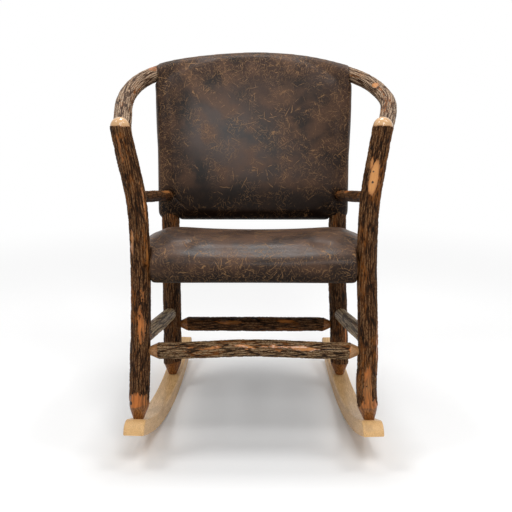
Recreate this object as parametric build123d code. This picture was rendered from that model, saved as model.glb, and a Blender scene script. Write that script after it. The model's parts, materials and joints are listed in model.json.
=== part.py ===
from build123d import *
from math import radians, sqrt, tan
import os

# A hickory rocking chair: bark-covered poles joined by whittled round tenons, two bent rockers,
# one steam-bent hoop that is both arms and top rail, and an upholstered seat and back.
# Frame: +X to the right as seen from the front, the sitter faces -Y, +Z up, Z = 0 is the floor.
# The chair is drawn upright, with Y = 0 halfway along its rockers, and at the end it is rolled
# back on its soles to where it rests and centred between its noses and the back of its hoop.
# All lengths are in millimetres and all angles in degrees.

# ---- Fits ---------------------------------------------------------------------------------
tenon_clearance = 0.15      # around a round tenon in its bore
mortise_relief = 1.5        # between a tenon's end and the bottom of its bore
scribe_gap = 0.3            # between a foot and the rocker it is scribed to
cone_seat = 2.2             # a whittled cone beds this far into the round face of its post
soft_clearance = 0.4        # between upholstery and the wood it wraps
nail_clearance = 0.1        # around a nail or screw in its hole

# ---- Rockers ------------------------------------------------------------------------------
rocker_length = 698.0
sole_radius = 955.0         # of the arc that meets the floor
rocker_depth = 35.6         # from the sole to the top face
rocker_width = 47.0
contact_y = -31.0           # where the soles touch the floor while the chair stands upright
rest_lean = 5.0             # how far the chair rolls back to rest under its own weight
nose_radius = 28.0          # the round that drops the front end to a thin lip
heel_radius = 12.0
rocker_edge_radius = 3.5

# ---- Feet of the four posts on the rockers --------------------------------------------------
front_foot_x = 265.0
front_foot_y = -291.0
back_foot_x = 235.5
back_foot_y = 139.0
foot_radius = 11.5          # where the whittled foot meets the rocker
foot_cone = 31.0
foot_tenon_radius = 9.5
foot_tenon = 24.0

# ---- Natural poles: x, y, z and radius at stations along the bend, above the foot -----------
front_post_left_stations = [
    (-263.5, -285.0, 118.0, 22.8), (-260.3, -279.0, 210.0, 22.6), (-257.8, -273.0, 302.0, 22.0),
    (-256.9, -267.0, 387.0, 21.8), (-259.2, -260.0, 507.0, 21.8), (-266.0, -255.0, 581.0, 22.4),
    (-283.6, -250.0, 664.0, 22.6), (-299.0, -246.0, 737.0, 22.0)]
front_post_right_stations = [
    (259.4, -285.0, 118.0, 22.8), (259.3, -279.0, 210.0, 22.6), (258.8, -273.0, 302.0, 22.2),
    (256.0, -267.0, 387.0, 22.0), (256.2, -260.0, 507.0, 22.0), (261.3, -255.0, 581.0, 22.2),
    (274.4, -250.0, 664.0, 22.4), (286.6, -246.0, 737.0, 22.2)]
back_post_left_stations = [
    (-235.0, 143.5, 104.0, 24.4), (-235.2, 150.0, 231.0, 24.4), (-235.7, 155.0, 288.0, 24.2),
    (-237.2, 170.0, 477.0, 23.6), (-243.0, 197.0, 674.0, 22.0), (-247.6, 214.5, 785.0, 21.0)]
back_post_right_stations = [
    (234.1, 143.5, 104.0, 24.4), (230.5, 150.0, 231.0, 24.4), (227.5, 155.0, 288.0, 24.2),
    (225.3, 170.0, 477.0, 23.6), (229.0, 193.0, 674.0, 22.0), (233.2, 204.6, 785.0, 20.8)]
back_post_top_radius = 20.0
back_post_cone = 23.0
back_post_seat = 3.6        # the cone beds this far into the hoop
back_post_tenon_radius = 11.0
back_post_tenon = 18.0

# ---- Arm hoop: x, y and radius at stations; its height follows one sloping plane ------------
hoop_plane_height = 700.0   # of the hoop's centreline at hoop_plane_y
hoop_plane_y = -235.0
hoop_slope = 22.5
hoop_left_arm = [(-311.0, -151.0, 21.0), (-319.5, -88.0, 21.2), (-330.0, 2.0, 21.5),
                 (-326.5, 86.0, 21.2), (-303.0, 166.0, 20.6)]
hoop_left_post = (-252.0, 232.0, 20.2)      # over the left back post
hoop_top = [(-140.0, 288.0, 20.0), (0.0, 313.0, 19.6), (140.0, 283.0, 19.4)]
hoop_right_post = (238.0, 216.0, 19.2)      # over the right back post
hoop_right_arm = [(289.0, 158.0, 19.0), (326.0, 62.0, 19.0), (333.0, 0.0, 19.0),
                  (326.5, -55.0, 19.4), (313.0, -118.0, 19.8), (300.5, -166.0, 20.0)]
hoop_cone = 24.0
hoop_cone_sink = 4.0        # the slanting cone beds this far into the front post
hoop_tenon_radius = 11.0
hoop_tenon = 24.0
hoop_joint_height = 697.0   # on the front posts

# ---- Rails and stretchers: heights are of the centreline at each post -----------------------
arm_rail_radius = 13.0
arm_rail_front_height = 581.0
arm_rail_back_height = 551.0
arm_rail_cone = 14.0
arm_rail_tenon_radius = 8.0
side_stretcher_radius = 17.5
side_stretcher_front_height = 258.0
side_stretcher_back_height = 225.0
front_stretcher_radius = 18.3
front_stretcher_height = 232.0
front_stretcher_bow = 6.5
back_stretcher_radius = 18.6
back_stretcher_height = 192.0
stretcher_cone = 21.0
stretcher_tenon_radius = 9.0
rail_tenon = 22.0           # length of every rail tenon beyond its cone
rail_belly = 0.8            # how much a rail is thicker in the middle

# ---- Seat: measured in the seat's own plane, which drops towards the back -------------------
seat_rail_radius = 17.0
seat_rail_height = 414.0    # of the front rail's centreline on the front posts
seat_drop = 29.0            # from the front rail to the back rail
side_rail_rise = 22.0       # side rails pass over the front and back rails' tenons
seat_rail_cone = 12.0
seat_nose = 34.0            # leather in front of the front rail's centreline
seat_tail = 22.0            # leather behind the back rail's centreline
seat_under = 21.5           # leather below the rails' centreline
seat_crown = 86.0           # top of the cushion in the middle
seat_saddle = 7.0           # how much the cushion rises on each side
seat_saddle_x = 178.0
seat_side_x = 276.0
seat_back_height = 56.0     # top of the cushion over the back rail
leather = 1.8
post_notch_gap = 1.0        # leather corner round a post
seat_flange = 46.0          # leather turned in under the seat
webbing_width = 50.0
webbing_thick = 1.6
webbing_count_across = 5
webbing_count_along = 5
webbing_post_gap = 8.0      # between the first and last cross straps and the posts
webbing_lap = 8.0           # over the far side of the front and back rails
dust_cover_thick = 1.2
dust_cover_lap = 2.0        # outside the rails' centrelines

# ---- Back: the pad hangs from the hoop and the lower back rail ------------------------------
back_rail_height = 508.0
back_rail_radius = 14.0
back_pad_radius_low = 28.0  # of the pad's rounded bottom edge about the lower back rail
back_pad_wrap = 6.0         # leather and wadding over the hoop
back_pad_crown = 15.0       # how far the front swells
back_pad_rear_crown = 6.0
back_pad_left_x = -277.0
back_pad_right_x = 263.0
back_pad_side_round = 22.0
back_foam_front = 22.0      # foam between the front leather and the hollow behind it
back_hollow_margin = 8.0    # foam left round the hoop, the lower rail and the posts
back_panel_lap = 7.0        # outside back panel over the foam round the hollow
back_panel_gap = 0.3        # between the outside back panel and the cover round it
back_panel_depth = 15.0     # from the middle of the pad to where the panel's edge is cut

# ---- Fasteners ----------------------------------------------------------------------------
nail_radius = 1.5
nail_head_radius = 3.2
nail_head_thick = 1.0
nail_depth = 34.0
nail_inset = 6.0            # from the post's centre towards the rail that is pinned
screw_radius = 2.2
screw_head_radius = 4.4
screw_head_depth = 2.4
screw_head_sink = 1.5       # below the sole
screw_length = 24.0
tack_radius = 3.5
tack_thick = 1.2
tack_pin = 11.0
tack_pin_radius = 0.8
tack_pitch = 60.0
tack_inset = 5.0            # inwards from the rail's centreline


# ---- Small helpers ------------------------------------------------------------------------
rocker_run = Vector(back_foot_x - front_foot_x, back_foot_y - front_foot_y, 0)
rocker_squareness = rocker_run.normalized().Y      # cosine of the rockers' toe-in
rocker_middle_x = front_foot_x - front_foot_y * rocker_run.X / rocker_run.Y


def rocker_top_z(y):
    """Height of a rocker's top face at one distance along the chair."""
    along = (y - contact_y) / rocker_squareness
    return sole_radius - sqrt((sole_radius - rocker_depth) ** 2 - along ** 2)


def hoop_z(y):
    """Height of the hoop's centreline at one distance along the chair."""
    return hoop_plane_height + tan(radians(hoop_slope)) * (y - hoop_plane_y)


def hoop_station(station):
    """Turn x, y and radius into x, y, z and radius on the hoop's plane."""
    x, y, radius = station
    return (x, y, hoop_z(y), radius)


def centre(station):
    """The centre of a pole at one station."""
    return Vector(*station[:3])


def on_pole(stations, height):
    """Centre and radius of an upright pole at one height."""
    for low, high in zip(stations, stations[1:]):
        if height <= high[2]:
            break
    share = (height - low[2]) / (high[2] - low[2])
    x, y, z, radius = [a + (b - a) * share for a, b in zip(low, high)]
    return Vector(x, y, z), radius


def bent_pole(stations, grow=0.0):
    """A round pole lofted through circles that stand square to its bend."""
    spots = [centre(station) for station in stations]
    run = spots[-1] - spots[0]
    outward = -1 if spots[0].X < 0 else 1
    sideways = Vector(0, outward, 0) if abs(run.Z) > abs(run.X) else Vector(0, 0, 1)
    rings = []      # each ring starts on the outer side, away from every bore
    for i, spot in enumerate(spots):
        heading = spots[min(i + 1, len(spots) - 1)] - spots[max(i - 1, 0)]
        ring_plane = Plane(origin=spot, x_dir=sideways.cross(heading), z_dir=heading)
        rings.append(ring_plane * Circle(stations[i][3] + grow))
    return loft(rings)


def whittled_end(shoulder, heading, radius, cone, tenon_radius, tenon, grow=0.0):
    """The pencil-cut cone and round tenon on a pole's end, from the shoulder outwards."""
    low = (Align.CENTER, Align.CENTER, Align.MIN)
    tip = Cone(radius + grow, tenon_radius + grow, cone, align=low)
    peg = Pos(0, 0, cone) * Cylinder(tenon_radius + grow, tenon + grow, align=low)
    return Plane(origin=shoulder, z_dir=heading) * (tip + peg)


def mortise(shoulder, heading, radius, cone, tenon_radius, tenon):
    """The bore for a whittled end, its mouth eased where the cone leans into the pole."""
    return whittled_end(shoulder, heading, radius, cone, tenon_radius, tenon + mortise_relief,
                        tenon_clearance)


def turned_rail(tip_a, tip_b, radius, cone, tenon_radius, grow=0.0):
    """A straight rail between two cone tips, revolved with a slight belly and both tenons."""
    length = (tip_b - tip_a).length
    body = radius + grow
    peg = tenon_radius + grow
    outline = Polyline((0, -rail_tenon - grow), (peg, -rail_tenon - grow), (peg, 0), (body, cone),
                       (body + rail_belly, length / 2), (body, length - cone), (peg, length),
                       (peg, length + rail_tenon + grow), (0, length + rail_tenon + grow),
                       (0, -rail_tenon - grow))
    turned = revolve(Plane.XZ * make_face(outline), Axis.Z)
    return Plane(origin=tip_a, x_dir=(0, 0, 1), z_dir=tip_b - tip_a) * turned


# ---- Where the poles run --------------------------------------------------------------------
def post_stations(foot_x, foot_y, upper_stations):
    """Stations of a post, with the top of its whittled foot put first."""
    foot = Vector(foot_x, foot_y, rocker_top_z(foot_y))
    above = centre(upper_stations[0])
    shoulder = foot + (above - foot).normalized() * foot_cone
    return [(shoulder.X, shoulder.Y, shoulder.Z, upper_stations[0][3])] + upper_stations


posts = {
    "front_post_left": post_stations(-front_foot_x, front_foot_y, front_post_left_stations),
    "front_post_right": post_stations(front_foot_x, front_foot_y, front_post_right_stations),
    "back_post_left": post_stations(-back_foot_x, back_foot_y, back_post_left_stations),
    "back_post_right": post_stations(back_foot_x, back_foot_y, back_post_right_stations)}

# The back posts end in a cone just under the hoop
for side, crossing in (("left", hoop_left_post), ("right", hoop_right_post)):
    stations = posts["back_post_" + side]
    over = hoop_station(crossing)
    heading = (centre(over) - centre(stations[-1])).normalized()
    top = centre(over) - heading * (over[3] - back_post_seat + back_post_cone)
    stations.append((top.X, top.Y, top.Z, back_post_top_radius))

bores = {name: [] for name in posts}
bores["arm_hoop"] = []
bores["rocker_left"] = []
bores["rocker_right"] = []


# ---- Rockers ------------------------------------------------------------------------------
def rocker_plane(side):
    """The upright plane of one rocker: X runs to the rear along it and Y runs up."""
    run = Vector(side * rocker_run.X, rocker_run.Y, 0)
    return Plane(origin=(side * rocker_middle_x, 0, 0), x_dir=run, z_dir=run.cross(Vector(0, 0, 1)))


def rocker_blank(side):
    """A bent bar between two arcs, with square ends, a rolled nose and eased edges."""
    half = rocker_length / 2
    hub = Vector(contact_y / rocker_squareness, sole_radius)
    front, rear = [Vector(end, sole_radius - sqrt(sole_radius ** 2 - (end - hub.X) ** 2))
                   for end in (-half, half)]
    inner = (sole_radius - rocker_depth) / sole_radius
    front_top, rear_top = [hub + (end - hub) * inner for end in (front, rear)]
    outline = ThreePointArc(front, (hub.X, 0), rear) + Line(rear, rear_top)
    outline += ThreePointArc(rear_top, (hub.X, rocker_depth), front_top) + Line(front_top, front)
    face = make_face(outline)
    face = fillet(face.vertices().sort_by_distance((front_top.X, front_top.Y, 0))[0], nose_radius)
    face = fillet(face.vertices().sort_by_distance((rear_top.X, rear_top.Y, 0))[0], heel_radius)
    bar = extrude(face, amount=rocker_width / 2, both=True)
    rims = [edge for edge in bar.edges() if abs(abs(edge.center().Z) - rocker_width / 2) < 0.01]
    return rocker_plane(side) * fillet(rims, rocker_edge_radius)


def rocker_hollow(side):
    """The round space over one rocker's top face, which scribes the feet to it."""
    hub = Pos(contact_y / rocker_squareness, sole_radius, 0)
    space = Cylinder(sole_radius - rocker_depth - scribe_gap, 4 * rocker_width)
    return rocker_plane(side) * (hub * space)


rockers = {"rocker_left": rocker_blank(-1), "rocker_right": rocker_blank(1)}


# ---- Posts --------------------------------------------------------------------------------
def post_foot(name, side):
    """The whittled foot of a post, scribed to the rocker, and its tenon and bore."""
    foot_x, foot_y = (front_foot_x, front_foot_y) if "front" in name else (back_foot_x, back_foot_y)
    foot = Vector(side * foot_x, foot_y, rocker_top_z(foot_y))
    shoulder = centre(posts[name][0])
    down = (foot - shoulder).normalized()
    low = (Align.CENTER, Align.CENTER, Align.MIN)
    cone = Cone(posts[name][0][3], foot_radius, foot_cone, align=low)
    collar = Pos(0, 0, foot_cone) * Cylinder(foot_radius, foot_radius, align=low)
    shaped = (Plane(origin=shoulder, z_dir=down) * (cone + collar)) & rocker_hollow(side)
    peg = Cylinder(foot_tenon_radius, foot_tenon + foot_radius, align=low)
    return shaped + Plane(origin=foot - down * foot_radius, z_dir=down) * peg, foot, down


def foot_bore(foot, down):
    """The blind round bore in a rocker's top face for one foot's tenon."""
    low = (Align.CENTER, Align.CENTER, Align.MIN)
    depth = foot_radius + foot_tenon + mortise_relief
    bore = Cylinder(foot_tenon_radius + tenon_clearance, depth, align=low)
    return Plane(origin=foot - down * foot_radius, z_dir=down) * bore


def make_post(name):
    """One bark-covered post: bent body, foot, and a domed head or a cone and tenon."""
    side = -1 if "left" in name else 1
    stations = posts[name]
    foot_piece, foot, down = post_foot(name, side)
    bores["rocker" + name[name.rindex("_"):]].append(foot_bore(foot, down))
    end = centre(stations[-1])
    heading = (end - centre(stations[-2])).normalized()
    if "front" in name:
        dome = Plane(origin=end, z_dir=heading) * Sphere(stations[-1][3], arc_size1=0)
        return bent_pole(stations) + foot_piece + dome
    top_end = (end, heading, stations[-1][3], back_post_cone, back_post_tenon_radius, back_post_tenon)
    bores["arm_hoop"].append(mortise(*top_end))
    return bent_pole(stations) + foot_piece + whittled_end(*top_end)


post_bodies = {name: make_post(name) for name in posts}


# ---- Arm hoop -----------------------------------------------------------------------------
def hoop_joint(post_name, first_arm):
    """Where the hoop's end points at its front post: the shoulder of its cone and its heading."""
    target, post_radius = on_pole(posts[post_name], hoop_joint_height)
    heading = (target - centre(hoop_station(first_arm))).normalized()
    return target - heading * (post_radius - hoop_cone_sink + hoop_cone), heading


hoop_ends = {"front_post_left": hoop_left_arm[0], "front_post_right": hoop_right_arm[-1]}
hoop_stations = [hoop_station(station) for station in
                 hoop_left_arm + [hoop_left_post] + hoop_top + [hoop_right_post] + hoop_right_arm]
hoop_pegs = []
for post_name, first_arm in hoop_ends.items():
    shoulder, heading = hoop_joint(post_name, first_arm)
    hoop_pegs.append((shoulder, heading, first_arm[2]))
    bores[post_name].append(
        mortise(shoulder, heading, first_arm[2], hoop_cone, hoop_tenon_radius, hoop_tenon))
    end_station = (shoulder.X, shoulder.Y, shoulder.Z, first_arm[2])
    hoop_stations.insert(0 if "left" in post_name else len(hoop_stations), end_station)


def make_hoop(grow=0.0):
    """The steam-bent hoop with its two whittled front ends."""
    hoop = bent_pole(hoop_stations, grow)
    for shoulder, heading, radius in hoop_pegs:
        hoop += whittled_end(shoulder, heading, radius, hoop_cone, hoop_tenon_radius, hoop_tenon, grow)
    return hoop


# ---- Rails between the posts ------------------------------------------------------------------
side_rail_front_height = seat_rail_height + side_rail_rise
back_seat_rail_height = seat_rail_height - seat_drop
side_rail_back_height = back_seat_rail_height + side_rail_rise
rails = {
    "seat_rail_front": ("front_post_left", seat_rail_height, "front_post_right", seat_rail_height,
                        seat_rail_radius, seat_rail_cone, stretcher_tenon_radius),
    "seat_rail_back": ("back_post_left", back_seat_rail_height, "back_post_right",
                       back_seat_rail_height, seat_rail_radius, seat_rail_cone,
                       stretcher_tenon_radius),
    "back_stretcher": ("back_post_left", back_stretcher_height, "back_post_right",
                       back_stretcher_height, back_stretcher_radius, stretcher_cone,
                       stretcher_tenon_radius),
    "back_rail": ("back_post_left", back_rail_height, "back_post_right", back_rail_height,
                  back_rail_radius, seat_rail_cone, arm_rail_tenon_radius)}
for side in ("left", "right"):
    front, back = "front_post_" + side, "back_post_" + side
    rails["seat_rail_" + side] = (front, side_rail_front_height, back, side_rail_back_height,
                                  seat_rail_radius, seat_rail_cone, stretcher_tenon_radius)
    rails["side_stretcher_" + side] = (front, side_stretcher_front_height, back,
                                       side_stretcher_back_height, side_stretcher_radius,
                                       stretcher_cone, stretcher_tenon_radius)
    rails["arm_rail_" + side] = (front, arm_rail_front_height, back, arm_rail_back_height,
                                 arm_rail_radius, arm_rail_cone, arm_rail_tenon_radius)


def rail_tips(post_a, height_a, post_b, height_b):
    """The cone tips of a rail that runs between the centrelines of two posts."""
    centre_a, radius_a = on_pole(posts[post_a], height_a)
    centre_b, radius_b = on_pole(posts[post_b], height_b)
    run = (centre_b - centre_a).normalized()
    return centre_a + run * (radius_a - cone_seat), centre_b - run * (radius_b - cone_seat), run


def make_rail(name, grow=0.0):
    """One straight rail, seated in its two posts."""
    radius, cone, tenon_radius = rails[name][4:]
    tip_a, tip_b, run = rail_tips(*rails[name][:4])
    return turned_rail(tip_a, tip_b, radius, cone, tenon_radius, grow)


for name, (post_a, height_a, post_b, height_b, radius, cone, tenon_radius) in rails.items():
    tip_a, tip_b, run = rail_tips(post_a, height_a, post_b, height_b)
    ends = (radius, cone, tenon_radius, rail_tenon)
    bores[post_a].append(mortise(tip_a + run * cone, -run, *ends))
    bores[post_b].append(mortise(tip_b - run * cone, run, *ends))


def make_front_stretcher():
    """The front stretcher is a little bowed upwards, with a pencil-cut cone at each end."""
    tip_a, tip_b, run = rail_tips("front_post_left", front_stretcher_height,
                                  "front_post_right", front_stretcher_height)
    ends = (front_stretcher_radius, stretcher_cone, stretcher_tenon_radius, rail_tenon)
    for post, tip, heading in (("front_post_left", tip_a, -run), ("front_post_right", tip_b, run)):
        bores[post].append(mortise(tip - heading * stretcher_cone, heading, *ends))
    first = tip_a + run * stretcher_cone
    length = (tip_b - tip_a).length - 2 * stretcher_cone
    stations = []
    for share, lift in ((0, 0), (0.06, 0), (0.25, 0.5), (0.5, 1), (0.75, 0.5), (0.94, 0), (1, 0)):
        spot = first + run * (length * share) + Vector(0, 0, lift * front_stretcher_bow)
        stations.append((spot.X, spot.Y, spot.Z, front_stretcher_radius))
    body = bent_pole(stations)
    for end, heading in ((0, -run), (-1, run)):
        body += whittled_end(centre(stations[end]), heading, *ends)
    return body


wood = {name: make_rail(name) for name in rails}
wood["front_stretcher"] = make_front_stretcher()
wood["arm_hoop"] = make_hoop()
wood.update(post_bodies)
wood.update(rockers)


# ---- Nails that pin the stretchers, arm rails and hoop in the posts ---------------------------
def nail(head_spot, heading, grow=0.0):
    """A nail whose head lies at the pole's surface and whose shank runs along its heading."""
    low = (Align.CENTER, Align.CENTER, Align.MIN)
    shank = Cylinder(nail_radius + grow, nail_depth + grow, align=low)
    head = Cylinder(nail_head_radius + grow, nail_head_thick, align=low)
    rise = nail_head_thick - grow       # a grown nail also clears the underside of the head
    return Plane(origin=head_spot, z_dir=heading) * (shank + Pos(0, 0, -rise) * head)


nails = []
nail_holes = {name: [] for name in wood}


def pin_joint(post_name, height, piece_name, into_post, inward):
    """Nail one tenon from a side of its post; inward is the nail's rough heading."""
    post_centre, post_radius = on_pole(posts[post_name], height)
    heading = (inward - into_post * inward.dot(into_post)).normalized()
    chord = sqrt(post_radius ** 2 - nail_inset ** 2)
    spot = post_centre - into_post * nail_inset - heading * (chord + nail_clearance)
    nails.append(nail(spot, heading))
    for holed in (post_name, piece_name):
        nail_holes[holed].append(nail(spot, heading, nail_clearance))


forward, inner_side = Vector(0, -1, 0), {"left": Vector(-1, 0, 0), "right": Vector(1, 0, 0)}
for side, outward in inner_side.items():
    front, back = "front_post_" + side, "back_post_" + side
    pin_joint(front, front_stretcher_height, "front_stretcher", outward, forward)
    pin_joint(back, back_stretcher_height, "back_stretcher", outward, forward)
    for rail in ("side_stretcher_" + side, "arm_rail_" + side):
        run = rail_tips(*rails[rail][:4])[2]
        pin_joint(front, rails[rail][1], rail, -run, outward)
    run = rail_tips(*rails["side_stretcher_" + side][:4])[2]
    pin_joint(back, side_stretcher_back_height, "side_stretcher_" + side, run, outward)
    first_arm = hoop_ends[front]
    heading = hoop_joint(front, first_arm)[1]
    pin_joint(front, hoop_joint_height, "arm_hoop", heading, outward)


# ---- Screws up through the rockers into the posts' feet ---------------------------------------
def foot_screw(name, grow=0.0):
    """A countersunk screw from a rocker's sole into the end of a foot's tenon."""
    side = -1 if "left" in name else 1
    foot_x, foot_y = (front_foot_x, front_foot_y) if "front" in name else (back_foot_x, back_foot_y)
    foot = Vector(side * foot_x, foot_y, rocker_top_z(foot_y))
    down = (foot - centre(posts[name][0])).normalized()
    hub = Vector(foot.X, contact_y, sole_radius)
    lean = down.dot((foot - hub).normalized())
    sole_spot = foot + down * (rocker_depth / lean - screw_head_sink)
    low = (Align.CENTER, Align.CENTER, Align.MIN)
    head = Cone(screw_head_radius + grow, screw_radius + grow, screw_head_depth, align=low)
    shank = Cylinder(screw_radius + grow, screw_length + grow, align=low)
    screw = head + shank
    if grow:
        high = (Align.CENTER, Align.CENTER, Align.MAX)
        screw += Cylinder(screw_head_radius + grow, 2 * screw_head_radius, align=high)
    return Plane(origin=sole_spot, z_dir=-down) * screw


screws = []
for name in posts:
    screws.append(foot_screw(name))
    for holed in (name, "rocker" + name[name.rindex("_"):]):
        nail_holes[holed].append(foot_screw(name, nail_clearance))


# ---- Seat upholstery, built in the seat's own sloping plane -------------------------------------
front_rail_at = on_pole(posts["front_post_left"], seat_rail_height)[0]
back_rail_at = on_pole(posts["back_post_left"], back_seat_rail_height)[0]
seat_depth = sqrt((back_rail_at.Y - front_rail_at.Y) ** 2 + seat_drop ** 2)
seat_plane = Plane(origin=(0, front_rail_at.Y, seat_rail_height), x_dir=(1, 0, 0),
                   z_dir=(0, seat_drop, back_rail_at.Y - front_rail_at.Y))


def grown_post(name, grow):
    """The round body of a post with some clearance added."""
    return bent_pole(posts[name], grow)


def seat_top(x):
    """Crest height of the cushion: low in the middle, high at the saddle, rolled at the sides."""
    rise = seat_saddle * min(1, (x / seat_saddle_x) ** 2)
    past = max(0, (abs(x) - seat_saddle_x) / (seat_side_x - seat_saddle_x))
    return (seat_crown + rise - seat_rail_radius) * sqrt(1 - min(past, 0.96) ** 2) + seat_rail_radius


def seat_section(x, inset):
    """One fore-and-aft outline of the cushion: flat under, rolled nose, crowned top."""
    low = -seat_under + inset
    nose = -seat_nose + inset
    tail = seat_depth + seat_tail - inset
    crest = seat_top(x) - inset
    tail_top = min(seat_back_height, crest) - inset
    start, end = Vector(tail, low + 8), Vector(seat_rail_radius / 2, low)
    crown = Spline((tail, tail_top - 14), (tail - 16, tail_top), (seat_depth * 0.3, crest),
                   (20, low + (crest - low) * 0.82), (nose, low + (crest - low) * 0.45), end,
                   tangents=((0, 1), (1, -0.25)))
    outline = crown + Line(end, (tail - 8, low)) + Line((tail - 8, low), start)
    outline += Line(start, (tail, tail_top - 14))
    return Plane(origin=(x, 0, 0), x_dir=(0, 1, 0), z_dir=(1, 0, 0)) * make_face(outline)


def seat_form(inset):
    """The whole cushion, drawn in by an inset, with its four corners notched for the posts."""
    edge = seat_side_x - inset
    half = [0, seat_saddle_x / 2, seat_saddle_x, (seat_saddle_x + edge) / 2, edge - leather * 8, edge]
    stations = [-x for x in reversed(half[1:])] + half
    form = seat_plane * loft([seat_section(x, inset) for x in stations])
    for notch in corner_notches(inset):
        form -= notch
    return form


def corner_notches(inset):
    """What the posts and the space outside them take from the cushion's four corners."""
    notches = []
    for name in posts:
        front = "front" in name
        spot, radius = on_pole(posts[name], seat_rail_height if front else back_seat_rail_height)
        side = -1 if "left" in name else 1
        away = -1 if front else 1
        notches.append(grown_post(name, post_notch_gap + inset))
        reach = 3 * seat_nose
        inner_x = spot.X - side * (radius + post_notch_gap + inset)
        notches.append(Pos(inner_x + side * reach, spot.Y + away * reach / 2, spot.Z)
                       * Box(2 * reach, reach, 4 * seat_crown))
    return notches


def seat_box(front, back, half_width, low, high):
    """A box in the seat's plane, from front to back and from low to high."""
    block = Box(2 * half_width, back - front, high - low)
    return seat_plane * (Pos(0, (front + back) / 2, (low + high) / 2) * block)


def rail_cuts(names):
    """Rails grown by the soft clearance, to be cut out of the upholstery."""
    return [make_rail(name, soft_clearance) for name in names]


seat_rails = [name for name in rails if name.startswith("seat_rail")]
web_low = side_rail_rise + seat_rail_radius + rail_belly + soft_clearance
web_lift = webbing_thick + soft_clearance
deck = web_low + webbing_thick + web_lift + soft_clearance
seat_cover = seat_form(0) - seat_form(leather)
seat_cover -= seat_box(seat_flange - seat_nose, seat_depth + seat_tail - seat_flange,
                       seat_side_x - seat_flange, -2 * seat_under, 0)
seat_foam = seat_form(leather + soft_clearance)
seat_foam -= seat_box(-webbing_lap - soft_clearance, 2 * seat_depth, 2 * seat_side_x,
                      -2 * seat_under, deck)
seat_foam -= seat_box(-2 * seat_nose, seat_depth, 2 * seat_side_x, -2 * seat_under, 0)
dust_cover_top = -seat_under - soft_clearance / 2
dust_cover = seat_box(-dust_cover_lap, seat_depth + dust_cover_lap,
                      seat_side_x - seat_flange + tack_pitch / 3,
                      dust_cover_top - dust_cover_thick, dust_cover_top)
for notch in corner_notches(leather):
    dust_cover -= notch
for cut in rail_cuts(seat_rails):
    seat_cover -= cut
    seat_foam -= cut


# ---- Woven webbing under the cushion ------------------------------------------------------------
front_post_radius = on_pole(posts["front_post_left"], side_rail_front_height)[1]
back_post_radius = on_pole(posts["back_post_left"], side_rail_back_height)[1]
first_cross = front_post_radius + webbing_post_gap + webbing_width / 2
last_cross = seat_depth - back_post_radius - webbing_post_gap - webbing_width / 2
cross_pitch = (last_cross - first_cross) / (webbing_count_across - 1)
cross_spots = [first_cross + cross_pitch * i for i in range(webbing_count_across)]


def web_across(y):
    """A strap from side rail to side rail."""
    share = y / seat_depth
    half = front_rail_at.X * (1 - share) + back_rail_at.X * share
    return seat_box(y - webbing_width / 2, y + webbing_width / 2, abs(half), web_low,
                    web_low + webbing_thick)


def web_along(x, first_side):
    """A strap from front rail to back rail that weaves over and under the cross straps."""
    rest = seat_rail_radius + rail_belly + soft_clearance + webbing_thick / 2
    middle = web_low + webbing_thick / 2
    weave = []
    for i, y in enumerate(cross_spots):
        level = middle + first_side * (-1) ** i * web_lift
        weave += [(y - webbing_width / 2 - webbing_thick, level),
                  (y + webbing_width / 2 + webbing_thick, level)]
    path = Polyline((-webbing_lap, rest), (0, rest), *weave, (seat_depth, rest),
                    (seat_depth + webbing_lap, rest))
    strap = extrude(trace(path, webbing_thick), amount=webbing_width / 2, both=True)
    upright = Plane(origin=(x, 0, 0), x_dir=(0, 1, 0), z_dir=(1, 0, 0))
    return seat_plane * (upright * strap)


along_pitch = 2 * (abs(back_rail_at.X) - seat_rail_radius - seat_rail_cone) / webbing_count_along
webbing = [web_across(y) for y in cross_spots]
for i in range(webbing_count_along):
    webbing.append(web_along(along_pitch * (i - (webbing_count_along - 1) / 2), (-1) ** i))


# ---- Tacks that hold the leather and the dust cover up under the front and back rails -----------
tacks = []
tack_holes = []
tack_count = int(2 * (abs(back_rail_at.X) - seat_rail_radius - seat_rail_cone) / tack_pitch)
for y in (tack_inset, seat_depth - tack_inset):
    for i in range(tack_count):
        low = (Align.CENTER, Align.CENTER, Align.MIN)
        spot = Pos(tack_pitch * (i - (tack_count - 1) / 2), y,
                   dust_cover_top - dust_cover_thick - tack_thick - nail_clearance)
        pin = Pos(0, 0, tack_thick)
        tacks.append(seat_plane * (spot * (
            Cone(tack_radius / 2, tack_radius, tack_thick, align=low)
            + pin * Cylinder(tack_pin_radius, tack_pin, align=low))))
        tack_holes.append(seat_plane * (spot * (pin * Cylinder(
            tack_pin_radius + nail_clearance, tack_pin + nail_clearance, align=low))))
for hole in tack_holes:
    seat_cover -= hole
    dust_cover -= hole
    for rail in ("seat_rail_front", "seat_rail_back"):
        wood[rail] -= hole


# ---- Back upholstery ----------------------------------------------------------------------------
hoop_line = sorted([hoop_station(station) for station in
                    hoop_left_arm[-1:] + [hoop_left_post] + hoop_top + [hoop_right_post]
                    + hoop_right_arm[:1]])


def hoop_at(x):
    """The hoop's centre and radius over one place along the back."""
    for left, right in zip(hoop_line, hoop_line[1:]):
        if x <= right[0]:
            break
    share = (x - left[0]) / (right[0] - left[0])
    spot = [a + (b - a) * share for a, b in zip(left, right)]
    return Vector(*spot[:3]), spot[3]


back_rail_y = (on_pole(posts["back_post_left"], back_rail_height)[0].Y
               + on_pole(posts["back_post_right"], back_rail_height)[0].Y) / 2


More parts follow.
